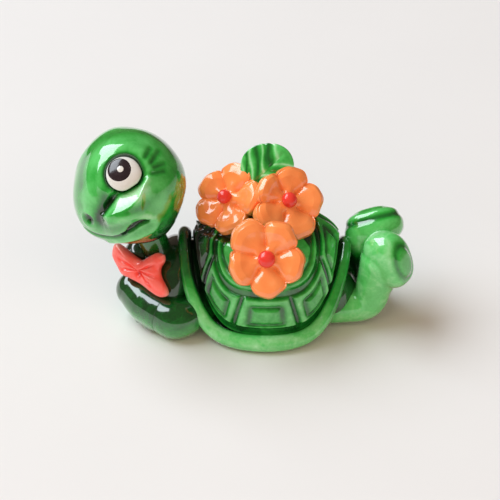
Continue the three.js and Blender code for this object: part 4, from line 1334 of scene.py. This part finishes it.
tilt = PETAL_TILTS[which] * step(radius, 1.5, 4.5) * step(from_valley, 0.1, 1.2)
height = height - VALLEY_DEPTH * valley - HOLLOW_DEPTH * hollow + tilt * on_face
set_columns(flower, radius * np.cos(turn), radius * np.sin(turn), height)
keep_depth_and_shading(flower, 0.6 + relief(flower, 20) * 0.6)
keep(flower, "paint", 1 - step(-height, 0.1, 1.5))
print("flower:", len(flower.data.polygons), "faces")

# %% [markdown]
# Each copy sits on the dome at its own place and faces its own way. The domed red centre is a flattened
# ball that seats in the petals.

# %% Red paint
RED = colour(222, 38, 34), colour(244, 74, 60)
red_finish = paint("red_paint", RED, scale=800, rough=(0.16, 0.14), coat=0.4)
print("red:", red_finish.name)

# %% Flowers: three copies and their centres
CENTRE_SEAT = 0.35 * FLOWER_DEPTH + FIT
# name, angle and lift on the dome, stand, facing, roll, the centre's radius, extra lengths of the petals
FLOWERS = [
    ("front", -90, 49, 2.3, (0, -0.85, 0.52), 58, 1.12, (0.03, 0.14, 0, 0, 0)),
    ("left", 143, 61.5, 3.15, (-0.46, -0.53, 0.71), 24, 0.95, (0.04, 0, -0.08, -0.06, 0.02)),
    ("right", 30, 77.5, 2.7, (0.35, -0.66, 0.67), -12, 1.02, (-0.02, -0.05, -0.1, 0.1, 0.08)),
]


def longer(points, shares):
    """Petals drawn out by shares of their length, one share for each petal."""
    turn = np.arctan2(points[:, 1], points[:, 0])
    ahead = np.cos(turn[:, None] - np.arange(PETALS) * 2 * np.pi / PETALS)
    factor = 1 + np.clip((ahead - 0.6) / 0.4, 0, 1) @ np.array(shares)
    return points * np.stack([factor, factor, np.ones_like(factor)], axis=1)


for name, angle, lift, stand, facing, roll, centre_radius, shares in FLOWERS:
    seat = dome_point(np.radians(angle), np.radians(lift)) + unit(facing) * stand
    axes = level_axes(facing, np.radians(roll))
    only(flower)
    bpy.ops.object.duplicate()
    copy = bpy.context.object
    copy.name = copy.data.name = "petals_" + name
    set_points(copy, longer(points_of(copy), shares))
    place_by(copy, axes, seat)
    put_on(copy, "torso", "orange_paint", orange_finish, "flower_" + name)
    button = ball("button_" + name, 48, 32)
    x, y, z = points_of(button).T
    dome_rise = np.where(z > 0, 0.95 * np.abs(z) ** 0.9, 0.5 * z)
    set_columns(button, x * centre_radius, y * centre_radius, CENTRE_SEAT + dome_rise)
    place_by(button, axes, seat)
    put_on(button, "torso", "red_paint", red_finish, "centre_" + name)
bpy.data.objects.remove(flower)

# %% [markdown]
# ## Leaf
# A broad leaf stands up behind the flowers. Its midrib and side veins are pressed in and the fields between
# them puff up. The glaze lies in dark streaks along the veins, and pale streaks and a paler midrib are
# painted highlights. Blade and stalk are fused into one skin before the veins go in.

# %% Leaf
LEAF_LENGTH, LEAF_WIDTH, LEAF_THICKNESS = 7.0, 7.4, 0.9
LEAF_TONE = 0.66
MIDRIB_DEPTH, VEIN_DEPTH, LEAF_PUFF = 0.14, 0.1, 0.1
VEINS, VEIN_SLANT = (-2.9, -1.5, -0.2, 1.1), 0.75
# streaks of the upper and the lower half: place along the midrib, width, and how pale or dark; the pale ones
# are painted highlights
LEAF_STREAKS = [
    [
        (-4.2, 0.3, 0.9), (-3.4, 0.25, -0.9), (-2.7, 0.3, 1.0), (-1.6, 0.5, -0.8), (-0.7, 0.22, 0.9),
        (0.4, 0.5, -1.0), (1.6, 0.4, 0.7),
    ],
    [
        (-4.0, 0.4, -0.6), (-3.0, 0.3, 1.0), (-2.1, 0.35, -0.9), (-1.2, 0.28, 1.0), (0.0, 0.5, -0.6),
        (1.1, 0.3, 0.9),
    ],
]
leaf_root = dome_point(np.radians(135), np.radians(78))
leaf_foot = leaf_root + (-0.9, 0, 2.6)
leaf_along = unit((0.72, 0.24, 0.62))
leaf_across = unit(np.cross(unit((0.1, -0.8, 0.6)), leaf_along))
leaf_out = np.cross(leaf_along, leaf_across)
leaf_axes = np.stack([leaf_along, leaf_across, leaf_out])
leaf_middle = leaf_foot + leaf_along * LEAF_LENGTH / 2

blade = ball("blade", 120, 48)
x, y, z = points_of(blade).T
thickness = np.sign(z) * np.sqrt(np.abs(z)) * LEAF_THICKNESS / 2
set_columns(blade, x * LEAF_LENGTH / 2, y * LEAF_WIDTH / 2 * (1 - 0.1 * x), thickness)
place_by(blade, leaf_axes, leaf_middle)
stalk_line = [
    leaf_root + (0.1, 0, -1.2), leaf_root, leaf_root * 0.4 + leaf_foot * 0.6, leaf_foot + leaf_along * 1.6,
]
stalk = limb("stalk", stalk_line, [0.6, 0.55, 0.45], (0, 1, 0), 24, 40)
leaf = fuse("leaf_skin", [blade, stalk], voxel=0.1, rounds=3)
along, across, _ = ((points_of(leaf) - leaf_middle) @ leaf_axes.T).T
midrib = bell(across - 0.06 * along, 0.3) * (1 - step(along, 2.4, 3.2))
on_vein = along - VEIN_SLANT * np.abs(across)
veins = sum(bell(on_vein - at, 0.26) for at in VEINS)
veins = veins * step(np.abs(across), 0.15, 0.5) * (1 - step(np.abs(across), 2.6, 3.5))
on_blade = step(along, -3.3, -2.8)
press(leaf, on_blade * (LEAF_PUFF * np.cos(across * 0.9) - MIDRIB_DEPTH * midrib - VEIN_DEPTH * veins))
streak = np.zeros(len(on_vein))
for half, places in zip((across > 0, across <= 0), LEAF_STREAKS):
    for at, width, tone in places:
        wander = 0.18 * np.sin(2.1 * np.abs(across) + 5 * at)
        streak += half * tone * bell(on_vein - at - wander, width)
# Pale streaks and the paler midrib are painted highlights; dark streaks are deeper glaze.
leaf_depth_and_shading = LEAF_TONE + np.clip(relief(leaf, 16), -0.2, 0.25) + 0.1 * midrib + 0.32 * streak
keep_depth_and_shading(leaf, leaf_depth_and_shading)
leaf_finish = glaze("leaf_glaze", marks=0.5)
put_on(leaf, "torso", "leaf_green", leaf_finish, "leaf")
